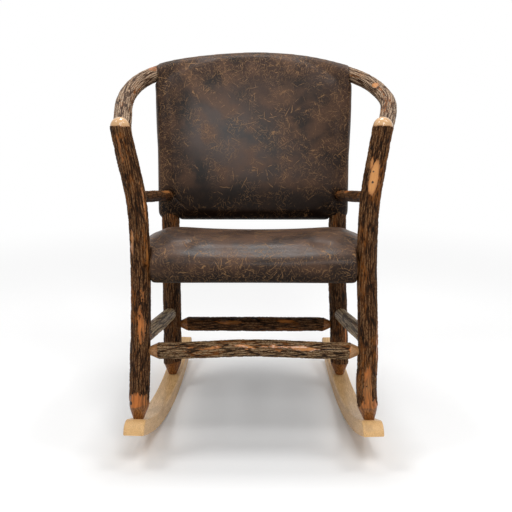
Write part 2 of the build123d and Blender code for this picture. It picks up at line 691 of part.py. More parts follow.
def back_section(x, inset):
    """One upright outline of the back: round about the lower rail and about the hoop."""
    over, hoop_radius = hoop_at(x)
    under = Vector(x, back_rail_y, back_rail_height)
    edge = min(x - back_pad_left_x, back_pad_right_x - x) - inset
    roll = sqrt(1 - max(0, 1 - edge / back_pad_side_round) ** 2)
    low = (back_pad_radius_low - inset) * roll
    high = (hoop_radius + back_pad_wrap - inset) * roll
    up = (over - under).normalized()
    front = up.cross(Vector(1, 0, 0)) * -1
    middle = (over + under) / 2
    swell = (low + high) / 2
    points = [under + front * low, middle + front * (swell + back_pad_crown * roll),
              over + front * high, over + up * high, over - front * high,
              middle - front * (swell + back_pad_rear_crown * roll),
              under - front * low, under - up * low]
    outline = ThreePointArc(*points[0:3]) + ThreePointArc(*points[2:5])
    outline += ThreePointArc(*points[4:7]) + ThreePointArc(points[6], points[7], points[0])
    return make_face(outline)


def back_form(inset):
    """The whole back pad drawn in by an inset: upright outlines lofted across the chair."""
    rounds = [leather + soft_clearance, back_pad_side_round]
    stations = [back_pad_left_x + inset + depth for depth in rounds]
    stations += [hoop_left_post[0] + 60] + [station[0] for station in hoop_top]
    stations += [hoop_right_post[0] - 60]
    stations += [back_pad_right_x - inset - depth for depth in reversed(rounds)]
    return loft([back_section(x, inset) for x in stations])


def behind_section(x, grow, front_low, front_mid, front_high):
    """One upright outline of the space behind the foam, open to the rear of the pad."""
    over, hoop_radius = hoop_at(x)
    under = Vector(x, back_rail_y, back_rail_height)
    up = (over - under).normalized()
    front = up.cross(Vector(1, 0, 0)) * -1
    low = under + up * (back_rail_radius + back_hollow_margin - grow)
    high = over - up * (hoop_radius + back_hollow_margin - grow)
    rear = front * (-3 * back_pad_radius_low)
    outline = Spline(low + front * front_low, (over + under) / 2 + front * front_mid,
                     high + front * front_high)
    outline += Line(high + front * front_high, high + rear) + Line(high + rear, low + rear)
    outline += Line(low + rear, low + front * front_low)
    return make_face(outline)


def behind_form(grow, front_low, front_mid, front_high):
    """The space behind the foam between the posts, lofted across the chair."""
    clear = back_hollow_margin - grow
    left = max(x + radius for x, y, z, radius in back_post_left_stations[3:]) + clear
    right = min(x - radius for x, y, z, radius in back_post_right_stations[3:]) - clear
    stations = [left] + [station[0] for station in hoop_top] + [right]
    return loft([behind_section(x, grow, front_low, front_mid, front_high) for x in stations])


swell_low = back_pad_radius_low - back_foam_front
swell_high = hoop_top[1][2] + back_pad_wrap - back_foam_front
swell_mid = (swell_low + swell_high) / 2 + back_pad_crown
back_shell = back_form(0) - back_form(leather)
rear_edge = [-back_panel_depth] * 3
back_panel = back_shell & behind_form(back_panel_lap, *rear_edge)
back_cover = back_shell - behind_form(back_panel_lap + back_panel_gap, *rear_edge)
back_foam = back_form(leather + soft_clearance)
back_foam -= behind_form(0, swell_low, swell_mid, swell_high)
back_cuts = rail_cuts(["back_rail", "arm_rail_left", "arm_rail_right"]) + [make_hoop(soft_clearance)]
for side in ("left", "right"):
    name = "back_post_" + side
    stations = posts[name]
    end, heading = centre(stations[-1]), (centre(stations[-1]) - centre(stations[-2])).normalized()
    back_cuts.append(grown_post(name, soft_clearance))
    back_cuts.append(whittled_end(end, heading, stations[-1][3], back_post_cone,
                                  back_post_tenon_radius, back_post_tenon, soft_clearance))
for cut in back_cuts:
    back_cover -= cut
    back_foam -= cut


# ---- Finish the wooden pieces -------------------------------------------------------------------
pieces = {}
for name, piece in wood.items():
    for hole in bores.get(name, []) + nail_holes[name]:
        piece = piece - hole
    pieces[name] = piece
pieces["joint_nails"] = Compound(children=nails)
pieces["rocker_screws"] = Compound(children=screws)
pieces["seat_cover"] = seat_cover
pieces["seat_foam"] = seat_foam
pieces["seat_webbing"] = Compound(children=webbing)
pieces["seat_dust_cover"] = dust_cover
pieces["upholstery_tacks"] = Compound(children=tacks)
pieces["back_cover"] = back_cover
pieces["back_panel"] = back_panel
pieces["back_foam"] = back_foam


# ---- Roll the chair back on its soles and centre it ---------------------------------------------
hub = Pos(0, contact_y, sole_radius)
rolled_back = hub * Rot(X=-rest_lean) * hub.inverse()
nose = (rolled_back * pieces["rocker_left"]).bounding_box().min.Y
heel = max((rolled_back * pieces[name]).bounding_box().max.Y for name in ("back_cover", "rocker_left"))
at_rest = Pos(0, -(nose + heel) / 2, 0) * rolled_back
print("shifted", round(-(nose + heel) / 2, 2), "mm along Y")

os.makedirs("parts", exist_ok=True)
for name, piece in pieces.items():
    piece = at_rest * piece
    piece.label = name
    export_step(piece, "parts/" + name + ".step")
    print(name, len(piece.solids()), round(piece.volume / 1000, 1), "cm3")
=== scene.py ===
# %% [markdown]
# # A hickory rocking chair
# The chair is made of young hickory poles with their bark left on, two pale curved rockers, and
# a seat and back in worn brown leather. Its solids come ready made as a fixed frame. This lesson
# gives them their skin: bark that is really raised, whittled ends, wood grain and soft leather.

# %% Load the frame
import json
import math

import bmesh
import bpy
import numpy as np
from mathutils import Matrix, Vector

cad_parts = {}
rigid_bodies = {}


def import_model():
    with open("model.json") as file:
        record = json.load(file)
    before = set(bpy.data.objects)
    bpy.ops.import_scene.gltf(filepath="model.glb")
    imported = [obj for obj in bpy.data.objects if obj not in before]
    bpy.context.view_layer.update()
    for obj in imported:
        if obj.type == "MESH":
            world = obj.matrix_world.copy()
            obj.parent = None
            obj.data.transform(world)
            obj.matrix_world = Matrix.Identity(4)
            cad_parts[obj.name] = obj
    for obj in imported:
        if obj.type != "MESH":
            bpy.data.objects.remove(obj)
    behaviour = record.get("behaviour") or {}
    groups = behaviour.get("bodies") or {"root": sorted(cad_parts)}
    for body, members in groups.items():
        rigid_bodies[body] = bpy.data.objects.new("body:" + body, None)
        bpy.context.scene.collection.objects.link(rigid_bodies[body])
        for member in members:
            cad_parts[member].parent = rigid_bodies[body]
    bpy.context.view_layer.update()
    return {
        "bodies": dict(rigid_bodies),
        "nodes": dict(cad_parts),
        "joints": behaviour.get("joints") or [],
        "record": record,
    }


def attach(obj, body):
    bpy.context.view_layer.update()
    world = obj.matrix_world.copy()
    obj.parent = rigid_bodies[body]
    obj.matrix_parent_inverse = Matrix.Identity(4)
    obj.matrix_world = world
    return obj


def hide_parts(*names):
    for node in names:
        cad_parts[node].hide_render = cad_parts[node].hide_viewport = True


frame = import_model()
scene = bpy.context.scene
scene.view_settings.view_transform = "Standard"


def add_object(name, data):
    """A new object in the scene."""
    piece = bpy.data.objects.new(name, data)
    scene.collection.objects.link(piece)
    return piece


# %% [markdown]
# ## Upright and at rest
# A chair is easiest to describe while it stands upright. A rocking chair rolls back a little on
# its round soles until its weight is over them. So every size here is in millimetres in the
# upright chair, and one small function carries points to metres in the chair at rest.

# %% From the upright chair to the chair at rest
rest_lean = math.radians(5.0)
contact_y = -31.0
sole_radius = 955.0
shift_y = 45.92
turn_back = Matrix.Rotation(-rest_lean, 3, "X")


def at_rest(points):
    """Points in the upright chair, in millimetres, as metres in the chair at rest."""
    points = np.atleast_2d(np.asarray(points, dtype=float))
    ahead, above = points[:, 1] - contact_y, points[:, 2] - sole_radius
    y = contact_y + ahead * math.cos(rest_lean) + above * math.sin(rest_lean) + shift_y
    z = sole_radius - ahead * math.sin(rest_lean) + above * math.cos(rest_lean)
    return np.column_stack([points[:, 0], y, z]) / 1000


def turned(direction):
    """A direction in the upright chair, as it points when the chair is at rest."""
    return turn_back @ Vector(direction)


print("the sole touches the floor at", at_rest([0, contact_y, 0]).round(4))

# %% [markdown]
# ## Camera
# A camera could be aimed with a constraint, but a fixed place and turn are the same on every
# machine. It stands at standing eye height and looks slightly down, straight at the front.

# %% Place the camera
sensor_width = 36.0
focal_share = 815.6 / 512      # focal length as a share of the picture's width
look_aside, look_down = 0.01165, 0.153
camera_place = (25.9, -2085.0, 729.5)

camera = add_object("camera", bpy.data.cameras.new("camera"))
camera.data.sensor_width = sensor_width
camera.data.lens = sensor_width * focal_share
aim = Matrix.Rotation(look_aside, 3, "Z") @ Matrix.Rotation(math.pi / 2 - look_down, 3, "X")
camera.matrix_world = (turn_back @ aim).to_4x4()
camera.location = at_rest(camera_place)[0]
scene.camera = camera
print("camera at", [round(v, 3) for v in camera.location], "lens", round(camera.data.lens, 2))

# %% [markdown]
# ## Wiring nodes with short sentences
# Materials and geometry trees are graphs of small nodes. Placed one by one they fill pages, so
# `put` adds one node with its inputs, and `Flow` is a value on its way through a tree that can be
# added, multiplied and compared like a number. The same helpers serve shaders and geometry.

# %% Helpers for node trees
def put(tree, kind, inputs=None, **settings):
    """Add a node, set its options and fill its inputs with numbers or with other nodes."""
    node = tree.nodes.new(kind)
    for option, value in settings.items():
        setattr(node, option, value)
    for key, value in (inputs or {}).items():
        if isinstance(value, Flow):
            tree.links.new(value.socket, node.inputs[key])
        else:
            node.inputs[key].default_value = value
    return node


class Flow:
    """A value on its way through a node tree."""

    def __init__(self, tree, socket):
        self.tree = tree
        self.socket = socket

    def math(self, operation, *others):
        values = dict(enumerate((self, *others)))
        node = put(self.tree, "ShaderNodeMath", values, operation=operation)
        return Flow(self.tree, node.outputs[0])

    def vector(self, operation, *others):
        values = dict(enumerate((self, *others)))
        node = put(self.tree, "ShaderNodeVectorMath", values, operation=operation)
        single = operation in ("DOT_PRODUCT", "LENGTH", "DISTANCE")
        return Flow(self.tree, node.outputs["Value" if single else "Vector"])

    def __add__(self, other):
        return self.math("ADD", other)

    def __sub__(self, other):
        return self.math("SUBTRACT", other)

    def __mul__(self, other):
        return self.math("MULTIPLY", other)

    def __truediv__(self, other):
        return self.math("DIVIDE", other)

    def between(self, low, high):
        """0 at low and 1 at high, smooth from one to the other."""
        values = {"Value": self, "From Min": low, "From Max": high}
        node = put(self.tree, "ShaderNodeMapRange", values, interpolation_type="SMOOTHSTEP")
        return Flow(self.tree, node.outputs["Result"])

    def most(self, other):
        return self.math("MAXIMUM", other)

    def flipped(self):
        """1 where it was 0 and 0 where it was 1."""
        return self * -1.0 + 1.0


print("a flow can be put through", [way for way in vars(Flow) if not way.startswith("_")])

# %% Colours and patterns
def paint(red, green, blue):
    """A colour written as on a paint chart, 0 to 255, as the light values Blender uses."""
    parts = [v / 255 for v in (red, green, blue)]
    return [v / 12.92 if v < 0.04 else ((v + 0.055) / 1.055) ** 2.4 for v in parts] + [1.0]


def tint(amount, first, second):
    """A colour between two others, by a mask."""
    node = put(amount.tree, "ShaderNodeMix", {0: amount, 6: first, 7: second}, data_type="RGBA")
    return Flow(amount.tree, node.outputs[2])


def clouds(place, scale, detail=3.0, roughness=0.5):
    """Soft noise, 0 to 1, at so many blobs a metre."""
    values = {"Vector": place, "Scale": scale, "Detail": detail, "Roughness": roughness}
    return Flow(place.tree, put(place.tree, "ShaderNodeTexNoise", values).outputs["Fac"])


def cracks(place, scale):
    """Distance to the nearest line between irregular cells: 0 on the line."""
    node = put(place.tree, "ShaderNodeTexVoronoi", {"Vector": place, "Scale": scale},
               feature="DISTANCE_TO_EDGE")
    return Flow(place.tree, node.outputs["Distance"])


def joined(x, y, z):
    """Three flows as one place."""
    return Flow(x.tree, put(x.tree, "ShaderNodeCombineXYZ", {0: x, 1: y, 2: z}).outputs[0])


def split(place):
    """A place as its three flows."""
    node = put(place.tree, "ShaderNodeSeparateXYZ", {0: place})
    return [Flow(place.tree, socket) for socket in node.outputs]


def stretched(place, x, y, z):
    """The place with its three axes drawn out or squeezed."""
    return place.vector("MULTIPLY", (x, y, z))


def swayed(place, scale, amount):
    """The place pushed about by soft noise, so that no line stays straight."""
    values = {"Vector": place, "Scale": scale, "Detail": 2.0}
    node = put(place.tree, "ShaderNodeTexNoise", values)
    push = Flow(place.tree, node.outputs["Color"]).vector("SUBTRACT", (0.5, 0.5, 0.5))
    return place.vector("ADD", push.vector("MULTIPLY", (amount, amount, amount)))


print("the brown of worn leather as light:", [round(v, 3) for v in paint(88, 64, 49)])

# %% Node groups
def new_group(name, kind, inputs, outputs):
    """An empty node group, its inputs as flows and its end.

    Each socket is a name, a form and, if it has one, its own value."""
    tree = bpy.data.node_groups.new(name, kind)
    for direction, sockets in (("INPUT", inputs), ("OUTPUT", outputs)):
        for label, form, *value in sockets:
            socket = tree.interface.new_socket(
                label, in_out=direction, socket_type="NodeSocket" + form)
            if value:
                socket.default_value = value[0]
    start = tree.nodes.new("NodeGroupInput")
    given = {socket.name: Flow(tree, socket) for socket in start.outputs if socket.name}
    return tree, given, tree.nodes.new("NodeGroupOutput")


def hand_out(tree, end, results):
    """Connect the results to a group's outputs."""
    for name, flow in results.items():
        tree.links.new(flow.socket, end.inputs[name])


print("node helpers ready")

# %% [markdown]
# ## Floor and light
# A pale floor catches the soft shadows. Near the chair it is real paint that the lamps light;
# further out it fades into pure white, so that no horizon shows. Soft lamps at both sides, above
# and in front, with a pale sky, light every colour about as it is written.

# %% Helpers for materials
def new_material(name):
    """A new material, its tree and its Principled shader."""
    material = bpy.data.materials.new(name)
    material.use_nodes = True
    return material, material.node_tree, material.node_tree.nodes["Principled BSDF"]


def set_inputs(node, values):
    """Set constants on a node's sockets."""
    for label, value in values.items():
        node.inputs[label].default_value = value


def object_place(tree):
    """Object coordinates, in metres."""
    return Flow(tree, put(tree, "ShaderNodeTexCoord").outputs["Object"])


def dress_shader(tree, shader, group, bump_strength, bump_distance, constants):
    """Lead a group's outputs to the shader, its height through a bump, and set the constants."""
    bump = put(tree, "ShaderNodeBump", {"Strength": bump_strength, "Distance": bump_distance})
    tree.links.new(group.outputs["Height"], bump.inputs["Height"])
    tree.links.new(bump.outputs["Normal"], shader.inputs["Normal"])
    for output, target in (("Colour", "Base Color"), ("Roughness", "Roughness"),
                           ("Gloss", "Coat Weight")):
        if output in group.outputs:
            tree.links.new(group.outputs[output], shader.inputs[target])
    set_inputs(shader, constants)


def seen_directly(tree):
    """1 for rays from the camera, from mirrors and through glass, so they meet the white."""
    rays = put(tree, "ShaderNodeLightPath").outputs
    return Flow(tree, rays["Is Camera Ray"]).most(Flow(tree, rays["Is Glossy Ray"])).most(
        Flow(tree, rays["Is Transmission Ray"]))


print("material helpers ready")

# %% A floor that fades into white
def add_floor(half_width=14.0, bright_near=0.075, fade_start=0.75, fade_end=2.6):
    mesh = bpy.data.meshes.new("floor")
    corners = [(-1, -1), (1, -1), (1, 1), (-1, 1)]
    mesh.from_pydata([(x * half_width, y * half_width, 0) for x, y in corners], [], [(0, 1, 2, 3)])
    floor = add_object("floor", mesh)
    material, tree, shader = new_material("floor paint")
    set_inputs(shader, {
        "Roughness": 0.9, "Specular IOR Level": 0.1, "Emission Color": (1, 1, 1, 1)})
    place = object_place(tree)
    away = place.vector("LENGTH").between(fade_start, fade_end)
    speckle = clouds(place, 60.0) * 0.012 + 0.905
    level = put(tree, "ShaderNodeCombineColor", {0: speckle, 1: speckle, 2: speckle})
    tree.links.new(level.outputs[0], shader.inputs["Base Color"])
    direct = seen_directly(tree)
    tree.links.new((direct * bright_near).socket, shader.inputs["Emission Strength"])
    white = put(tree, "ShaderNodeEmission", {"Strength": 1.0})
    blend = put(tree, "ShaderNodeMixShader", {0: away * direct})
    tree.links.new(shader.outputs[0], blend.inputs[1])
    tree.links.new(white.outputs[0], blend.inputs[2])
    tree.links.new(blend.outputs[0], tree.nodes["Material Output"].inputs["Surface"])
    mesh.materials.append(material)


add_floor()
print("floor laid")

# %% Sky and lamps
def add_sky(light=0.4):
    world = bpy.data.worlds.new("studio sky")
    world.use_nodes = True
    scene.world = world
    tree = world.node_tree
    strength = seen_directly(tree) * (1.0 - light) + light
    tree.nodes["Background"].inputs["Color"].default_value = (1, 1, 1, 1)
    tree.links.new(strength.socket, tree.nodes["Background"].inputs["Strength"])


def add_lamp(name, place, target, power, width):
    lamp = bpy.data.lights.new(name, "AREA")
    lamp.shape = "RECTANGLE"
    lamp.size, lamp.size_y, lamp.energy = width, width, power
    piece = add_object(name, lamp)
    piece.location = place
    piece.rotation_euler = (Vector(target) - Vector(place)).to_track_quat("-Z", "Y").to_euler()


add_sky()
add_lamp("left window", (-1.6, -0.5, 2.9), (0, 0, 0.4), 17, 0.8)
add_lamp("right window", (1.6, -0.4, 2.9), (0, 0, 0.4), 14, 0.8)
add_lamp("overhead", (0.0, 0.6, 3.0), (0, 0, 0.4), 37, 0.8)
add_lamp("front softbox", (0.35, -1.9, 2.4), (0, 0, 0.5), 26, 0.9)
print("sky and four lamps")

# %% [markdown]
# ## Bark, as one rule for shape and colour
# Hickory bark is a net of long narrow ridges with dark furrows between them. Cells that are
# drawn out along the pole give that net. The same rule raises the surface in Geometry Nodes and
# colours it in the material, so every dark line lies in a real furrow. Places on a pole are in
# millimetres: two across it and one along it.

# %% The rule for bark ridges
def bark_ridges(place, width=5.2, reach=8.5):
    """0 in a furrow and 1 on a ridge; width across the pole and how many times longer along it."""
    wandering = swayed(swayed(place, 0.02, 4.0), 0.16, 1.6)
    long_cells = cracks(stretched(wandering, 1, 1, 1 / reach), 1 / width)
    short_cells = cracks(stretched(wandering, 1, 1, 2.6 / reach), 2.2 / width)
    return long_cells.between(0.0, 0.2) * (short_cells.between(0.0, 0.16) * 0.6 + 0.4)


def bare_here(peel, place, crumble=1.1):
    """1 on bare wood and 0 on bark, with a crumbly edge that runs with the fibres."""
    crumbs = clouds(stretched(place, 1, 1, 0.3), 0.5, 3.0) * (5 * crumble) - 2.5 * crumble
    return (peel + crumbs).between(-0.4, 0.6)


print("bark rule ready")

# %% [markdown]
# ## The colour of a bark pole
# A pole's skin has furrows, ridge tops rubbed grey, warm bast showing through, bare wood where
# the bark is cut or has flaked off, and dark knots, all under a thin lacquer. Each pole could
# have its own material, but they would differ only in a few colours. So one shader group holds
# the recipe, and each material gives it its own colours.

# %% Shader group for a pole's skin
pole_colours = {
    "Furrow": (15, 8, 3), "Bark": (76, 47, 25), "Ridge Top": (120, 88, 58), "Fleck": (172, 124, 78),
    "Bast": (136, 80, 32), "Amber": (204, 116, 50), "Wood": (206, 142, 78),
    "Wood Dark": (104, 60, 24), "Cut Wood": (198, 156, 110), "Cut Brown": (96, 56, 24),
    "Cut Light": (164, 108, 58)}
skin_outputs = [("Colour", "Color"), ("Roughness", "Float"), ("Gloss", "Float"),
                ("Height", "Float")]


def build_pole_skin():
    inputs = [("Place", "Vector"), ("Peel", "Float"), ("Cut", "Float"), ("Pale", "Float"),
              ("Knot", "Float"), ("Rubbed", "Float", 0.5), ("Warmth", "Float", 0.5)]
    inputs += [(name, "Color", paint(*chart)) for name, chart in pole_colours.items()]
    tree, given, end = new_group("pole skin", "ShaderNodeTree", inputs, skin_outputs)
    place = given["Place"]
    ridges = bark_ridges(place)
    fibres = clouds(stretched(place, 1, 1, 0.13), 0.75, 5.0, 0.65)
    dashes = clouds(stretched(swayed(place, 0.3, 1.0), 1, 1, 0.2), 0.34, 4.0, 0.6)
    blotches = clouds(stretched(place, 1, 1, 0.4), 0.04, 4.0, 0.6)
    bark = tint((ridges * 0.55 + dashes * 0.75).between(0.28, 0.72), given["Furrow"], given["Bark"])
    warm = (blotches + given["Warmth"] * 0.2 - 0.1).between(0.5, 0.64)
    warm = warm * (dashes * 0.6 + fibres * 0.4).between(0.42, 0.6)
    bark = tint(warm * 0.85, bark, given["Bast"])
    rubbed = (ridges * 0.5 + fibres * 0.6 + given["Rubbed"] * 0.24).between(0.74, 0.98)
    bark = tint(rubbed * 0.9, bark, given["Ridge Top"])
    flecks = clouds(stretched(place, 1, 1, 0.22), 0.8, 2.0).between(0.58, 0.68)
    bark = tint(flecks * ridges.between(0.2, 0.6) * 0.5, bark, given["Fleck"])
    bark = tint(dashes.between(0.4, 0.28) * 0.8, bark, given["Furrow"])
    grain = clouds(stretched(swayed(place, 0.03, 4.0), 1, 1, 0.045), 0.42, 5.0, 0.6)
    pale = given["Pale"]
    wood = tint((grain * 0.9 + pale * 0.5).between(0.36, 0.96), given["Wood Dark"], given["Wood"])
    wood = tint(dashes.between(0.5, 0.36) * pale.flipped() * 0.75, wood, given["Bark"])
    amber = (blotches * 0.6 + grain * 0.4).between(0.45, 0.6) * pale.flipped() * 0.8
    wood = tint(amber, wood, given["Amber"])
    cut = tint(grain.between(0.35, 0.7), given["Cut Brown"], given["Cut Light"])
    cut = tint((pale + grain * 0.3 - 0.15).between(0.15, 0.9), cut, given["Cut Wood"])
    wood = tint(given["Cut"].between(0.2, 0.8), wood, cut)
    wood = tint(given["Peel"].between(3.5, 0.0) * 0.7, wood, given["Bast"])
    bare = bare_here(given["Peel"], place)
    skin = tint(bare, bark, wood)
    rings = (given["Knot"] + dashes * 2.0 - 1.0).between(-0.6, 1.2)
    skin = tint(rings * 0.92, skin, given["Furrow"])
    height = (ridges * 0.4 + fibres * 0.3 + dashes * 0.5) * bare.flipped()
    height = height + grain * bare * 0.12 - rings * 0.3
    rough = (fibres - 0.5) * 0.3 + 0.52 - bare * 0.14
    gloss = bare * (pale * 0.6 + 0.25) + rubbed * bare.flipped() * 0.1 + 0.02
    hand_out(tree, end, {"Colour": skin, "Roughness": rough, "Gloss": gloss, "Height": height})
    return tree


pole_skin = build_pole_skin()


def bark_finish(name, shades=None):
    """A material that dresses a pole; shades change the group's own colours and amounts."""
    material, tree, shader = new_material(name)
    group = put(tree, "ShaderNodeGroup", shades, node_tree=pole_skin)
    for label, attribute, output in (("Place", "skin", "Vector"), ("Peel", "peel", "Fac"),
                                     ("Cut", "cut", "Fac"), ("Pale", "pale", "Fac"),
                                     ("Knot", "knot", "Fac")):
        source = put(tree, "ShaderNodeAttribute", attribute_name=attribute)
        tree.links.new(source.outputs[output], group.inputs[label])
    dress_shader(tree, shader, group, 0.8, 0.0016, {
        "Specular IOR Level": 0.06, "Coat Roughness": 0.16})
    return material


post_bark = bark_finish("hickory bark of the posts")
hoop_bark = bark_finish("weathered bark of the hoop", shades={
    "Bark": paint(100, 76, 56), "Ridge Top": paint(166, 142, 118), "Rubbed": 1.1, "Warmth": 0.5,
    "Furrow": paint(38, 22, 12)})
rail_bark = bark_finish("tight bark of the stretchers", shades={
    "Bark": paint(92, 66, 43), "Ridge Top": paint(150, 124, 92), "Rubbed": 0.85, "Warmth": 0.45})
side_bark = bark_finish("smooth bark of the side stretchers", shades={
    "Bark": paint(122, 96, 66), "Ridge Top": paint(184, 158, 118), "Rubbed": 1.2, "Warmth": 0.3,
    "Furrow": paint(58, 40, 24)})
print("bark finishes:", ", ".join(m.name for m in (post_bark, hoop_bark, rail_bark, side_bark)))

# %% [markdown]
# ## Raising the bark with Geometry Nodes
# Each pole is a round tube along its own curve, as thick as the curve's points say. Modelling
# bark by hand would take days, and a texture alone stays flat at the outline. So one geometry
# tree sweeps the tube, finds where each point lies on the pole, marks bare patches and knots, and
# then moves the surface in and out by the bark rule.

# %% Geometry group: one bare patch on a pole
def build_patch_group():
    """How deep a place lies inside a patch, in millimetres; below 0 outside it."""
    tree, given, end = new_group("bare patch", "GeometryNodeTree", [
        ("Place", "Vector"), ("Spot", "Vector"), ("Size", "Vector")], [("Depth", "Float")])
    half_width, half_length, ragged = split(given["Size"])
    from_middle = given["Place"].vector("SUBTRACT", given["Spot"])
    reach = joined(half_width, half_width, half_length)
    share = from_middle.vector("DIVIDE", reach).vector("LENGTH")
    crumbs = clouds(stretched(given["Place"], 1, 1, 0.22), 0.13, 4.0, 0.65) * 5.0 - 2.5
    hand_out(tree, end, {"Depth": share.flipped() * half_width + crumbs * ragged})
    return tree


patch_group = build_patch_group()
patch_slots = 6
knot_slots = 4
nowhere = (0.0, 0.0, -9000.0)
apart = 1370.0      # how far each seed moves a pole's bark along the rule, in mm
print("bare patch group:", len(patch_group.nodes), "nodes")


# %% Geometry tree: a bark pole along a curve
def named(tree, name, form="FLOAT"):
    node = put(tree, "GeometryNodeInputNamedAttribute", {"Name": name}, data_type=form)
    return Flow(tree, node.outputs["Attribute"])


def keep(tree, mesh, name, value, form="FLOAT"):
    """Store a value on the mesh's points under a name."""
    values = {"Geometry": mesh, "Name": name, "Value": value}
    node = put(tree, "GeometryNodeStoreNamedAttribute", values, data_type=form, domain="POINT")
    return Flow(tree, node.outputs["Geometry"])


def build_pole_tree():
    inputs = [("Path", "Geometry"), ("Facing", "Vector", (0, -1, 0)), ("Sides", "Int", 96),
              ("Ridge Height", "Float", 1.5), ("Patch Depth", "Float", 0.9),
              ("Waviness", "Float", 0.9), ("Edge Slant", "Float", 2.0),
              ("Ridge Stretch", "Float", 1.3), ("Seed", "Float"), ("Bark", "Material")]
    patch_names = [f"Patch {i + 1}" for i in range(patch_slots)]
    knot_names = [f"Knot {i + 1}" for i in range(knot_slots)]
    for label in patch_names:
        inputs += [(label, "Vector", nowhere), (label + " Size", "Vector", (1, 1, 0)),
                   (label + " Pale", "Float", 0.5)]
    for label in knot_names:
        inputs += [(label, "Vector", nowhere), (label + " Radius", "Float", 1.0)]
    tree, given, end = new_group("bark pole", "GeometryNodeTree", inputs, [("Pole", "Geometry")])
    tree.is_modifier = True
    curve = put(tree, "GeometryNodeMeshToCurve", {"Mesh": given["Path"]})
    circle = put(tree, "GeometryNodeCurvePrimitiveCircle", {
        "Resolution": given["Sides"], "Radius": 1.0})
    swept = put(tree, "GeometryNodeCurveToMesh", {
        "Curve": Flow(tree, curve.outputs[0]), "Profile Curve": Flow(tree, circle.outputs[0]),
        "Scale": named(tree, "girth"), "Fill Caps": True})
    mesh = Flow(tree, swept.outputs[0])
    heading = named(tree, "heading", "FLOAT_VECTOR")
    spoke = Flow(tree, put(tree, "GeometryNodeInputPosition").outputs[0]).vector(
        "SUBTRACT", named(tree, "centre", "FLOAT_VECTOR"))
    square = heading.vector("CROSS_PRODUCT", given["Facing"]).vector("NORMALIZE")
    front = square.vector("CROSS_PRODUCT", heading).vector("NORMALIZE")
    ahead = spoke.vector("DOT_PRODUCT", front) * 1000
    across = spoke.vector("DOT_PRODUCT", square) * 1000
    place = joined(ahead, across, named(tree, "along"))
    stretch = named(tree, "along") / given["Ridge Stretch"] + given["Seed"] * apart
    mesh = keep(tree, mesh, "skin", joined(ahead, across, stretch), "FLOAT_VECTOR")
    skin = named(tree, "skin", "FLOAT_VECTOR")
    slant = (across * 0.045) * given["Edge Slant"]
    wobble = clouds(skin, 0.05, 3.0) * 7.0 - 3.5
    peel = cut = named(tree, "bare") + wobble + slant
    pale = named(tree, "bloom")
    for label in patch_names:
        spot = {"Place": place, "Spot": given[label], "Size": given[label + " Size"]}
        patch = put(tree, "GeometryNodeGroup", spot, node_tree=patch_group)
        depth = Flow(tree, patch.outputs["Depth"])
        peel = peel.most(depth)
        pale = pale.most(depth.between(-1.5, 1.0) * given[label + " Pale"])
    knots = [given[label + " Radius"] - place.vector("DISTANCE", given[label])
             for label in knot_names]
    knot = knots[0].most(-50.0)
    for other in knots[1:]:
        knot = knot.most(other)
    mesh = keep(tree, mesh, "peel", peel)
    mesh = keep(tree, mesh, "cut", (cut + 1.0).between(0.0, 1.5))
    mesh = keep(tree, mesh, "knot", knot)
    mesh = keep(tree, mesh, "pale", pale)
    bare = bare_here(named(tree, "peel"), skin)
    bark = (bark_ridges(skin) - 0.28) * given["Ridge Height"] * bare.flipped()
    sunk = bare * given["Patch Depth"] * (named(tree, "cut") * 0.8).flipped()
    wave = (clouds(skin, 0.016, 3.0) - 0.5) * 2.0 * given["Waviness"]
    whittled = (clouds(stretched(skin, 1, 1, 0.35), 0.09, 1.0) - 0.5) * bare
    swelling = named(tree, "knot").between(-5.0, 2.0) * 0.9
    lift = (bark - sunk + wave + whittled + swelling) * 0.001 * named(tree, "give")
    normal = Flow(tree, put(tree, "GeometryNodeInputNormal").outputs[0])
    push = put(tree, "ShaderNodeVectorMath", {0: normal, "Scale": lift}, operation="SCALE")
    moved = put(tree, "GeometryNodeSetPosition", {
        "Geometry": mesh, "Offset": Flow(tree, push.outputs[0])})
    smooth = put(tree, "GeometryNodeSetShadeSmooth", {"Geometry": Flow(tree, moved.outputs[0])})
    real = put(tree, "GeometryNodeRealizeInstances", {"Geometry": Flow(tree, smooth.outputs[0])})
    dressed = put(tree, "GeometryNodeSetMaterial", {
        "Geometry": Flow(tree, real.outputs[0]), "Material": given["Bark"]})
    tree.links.new(dressed.outputs[0], end.inputs["Pole"])
    return tree


pole_tree = build_pole_tree()
print("bark pole tree:", len(pole_tree.nodes), "nodes")

# %% [markdown]
# ## Where the poles run
# Every pole is a young tree with its own bends, so it is described by a few stations: where its
# centre is and how thick it is there. A natural cubic spline is the curve a thin springy batten
# takes through such points. At the ends the pole is whittled to a cone, or rounded to a dome.

# %% Curves through stations
def unit(vector):
    """The same direction, one long."""
    return vector / np.linalg.norm(vector)


def units(rows):
    """The same for a whole list of directions."""
    return rows / np.linalg.norm(rows, axis=1)[:, None]


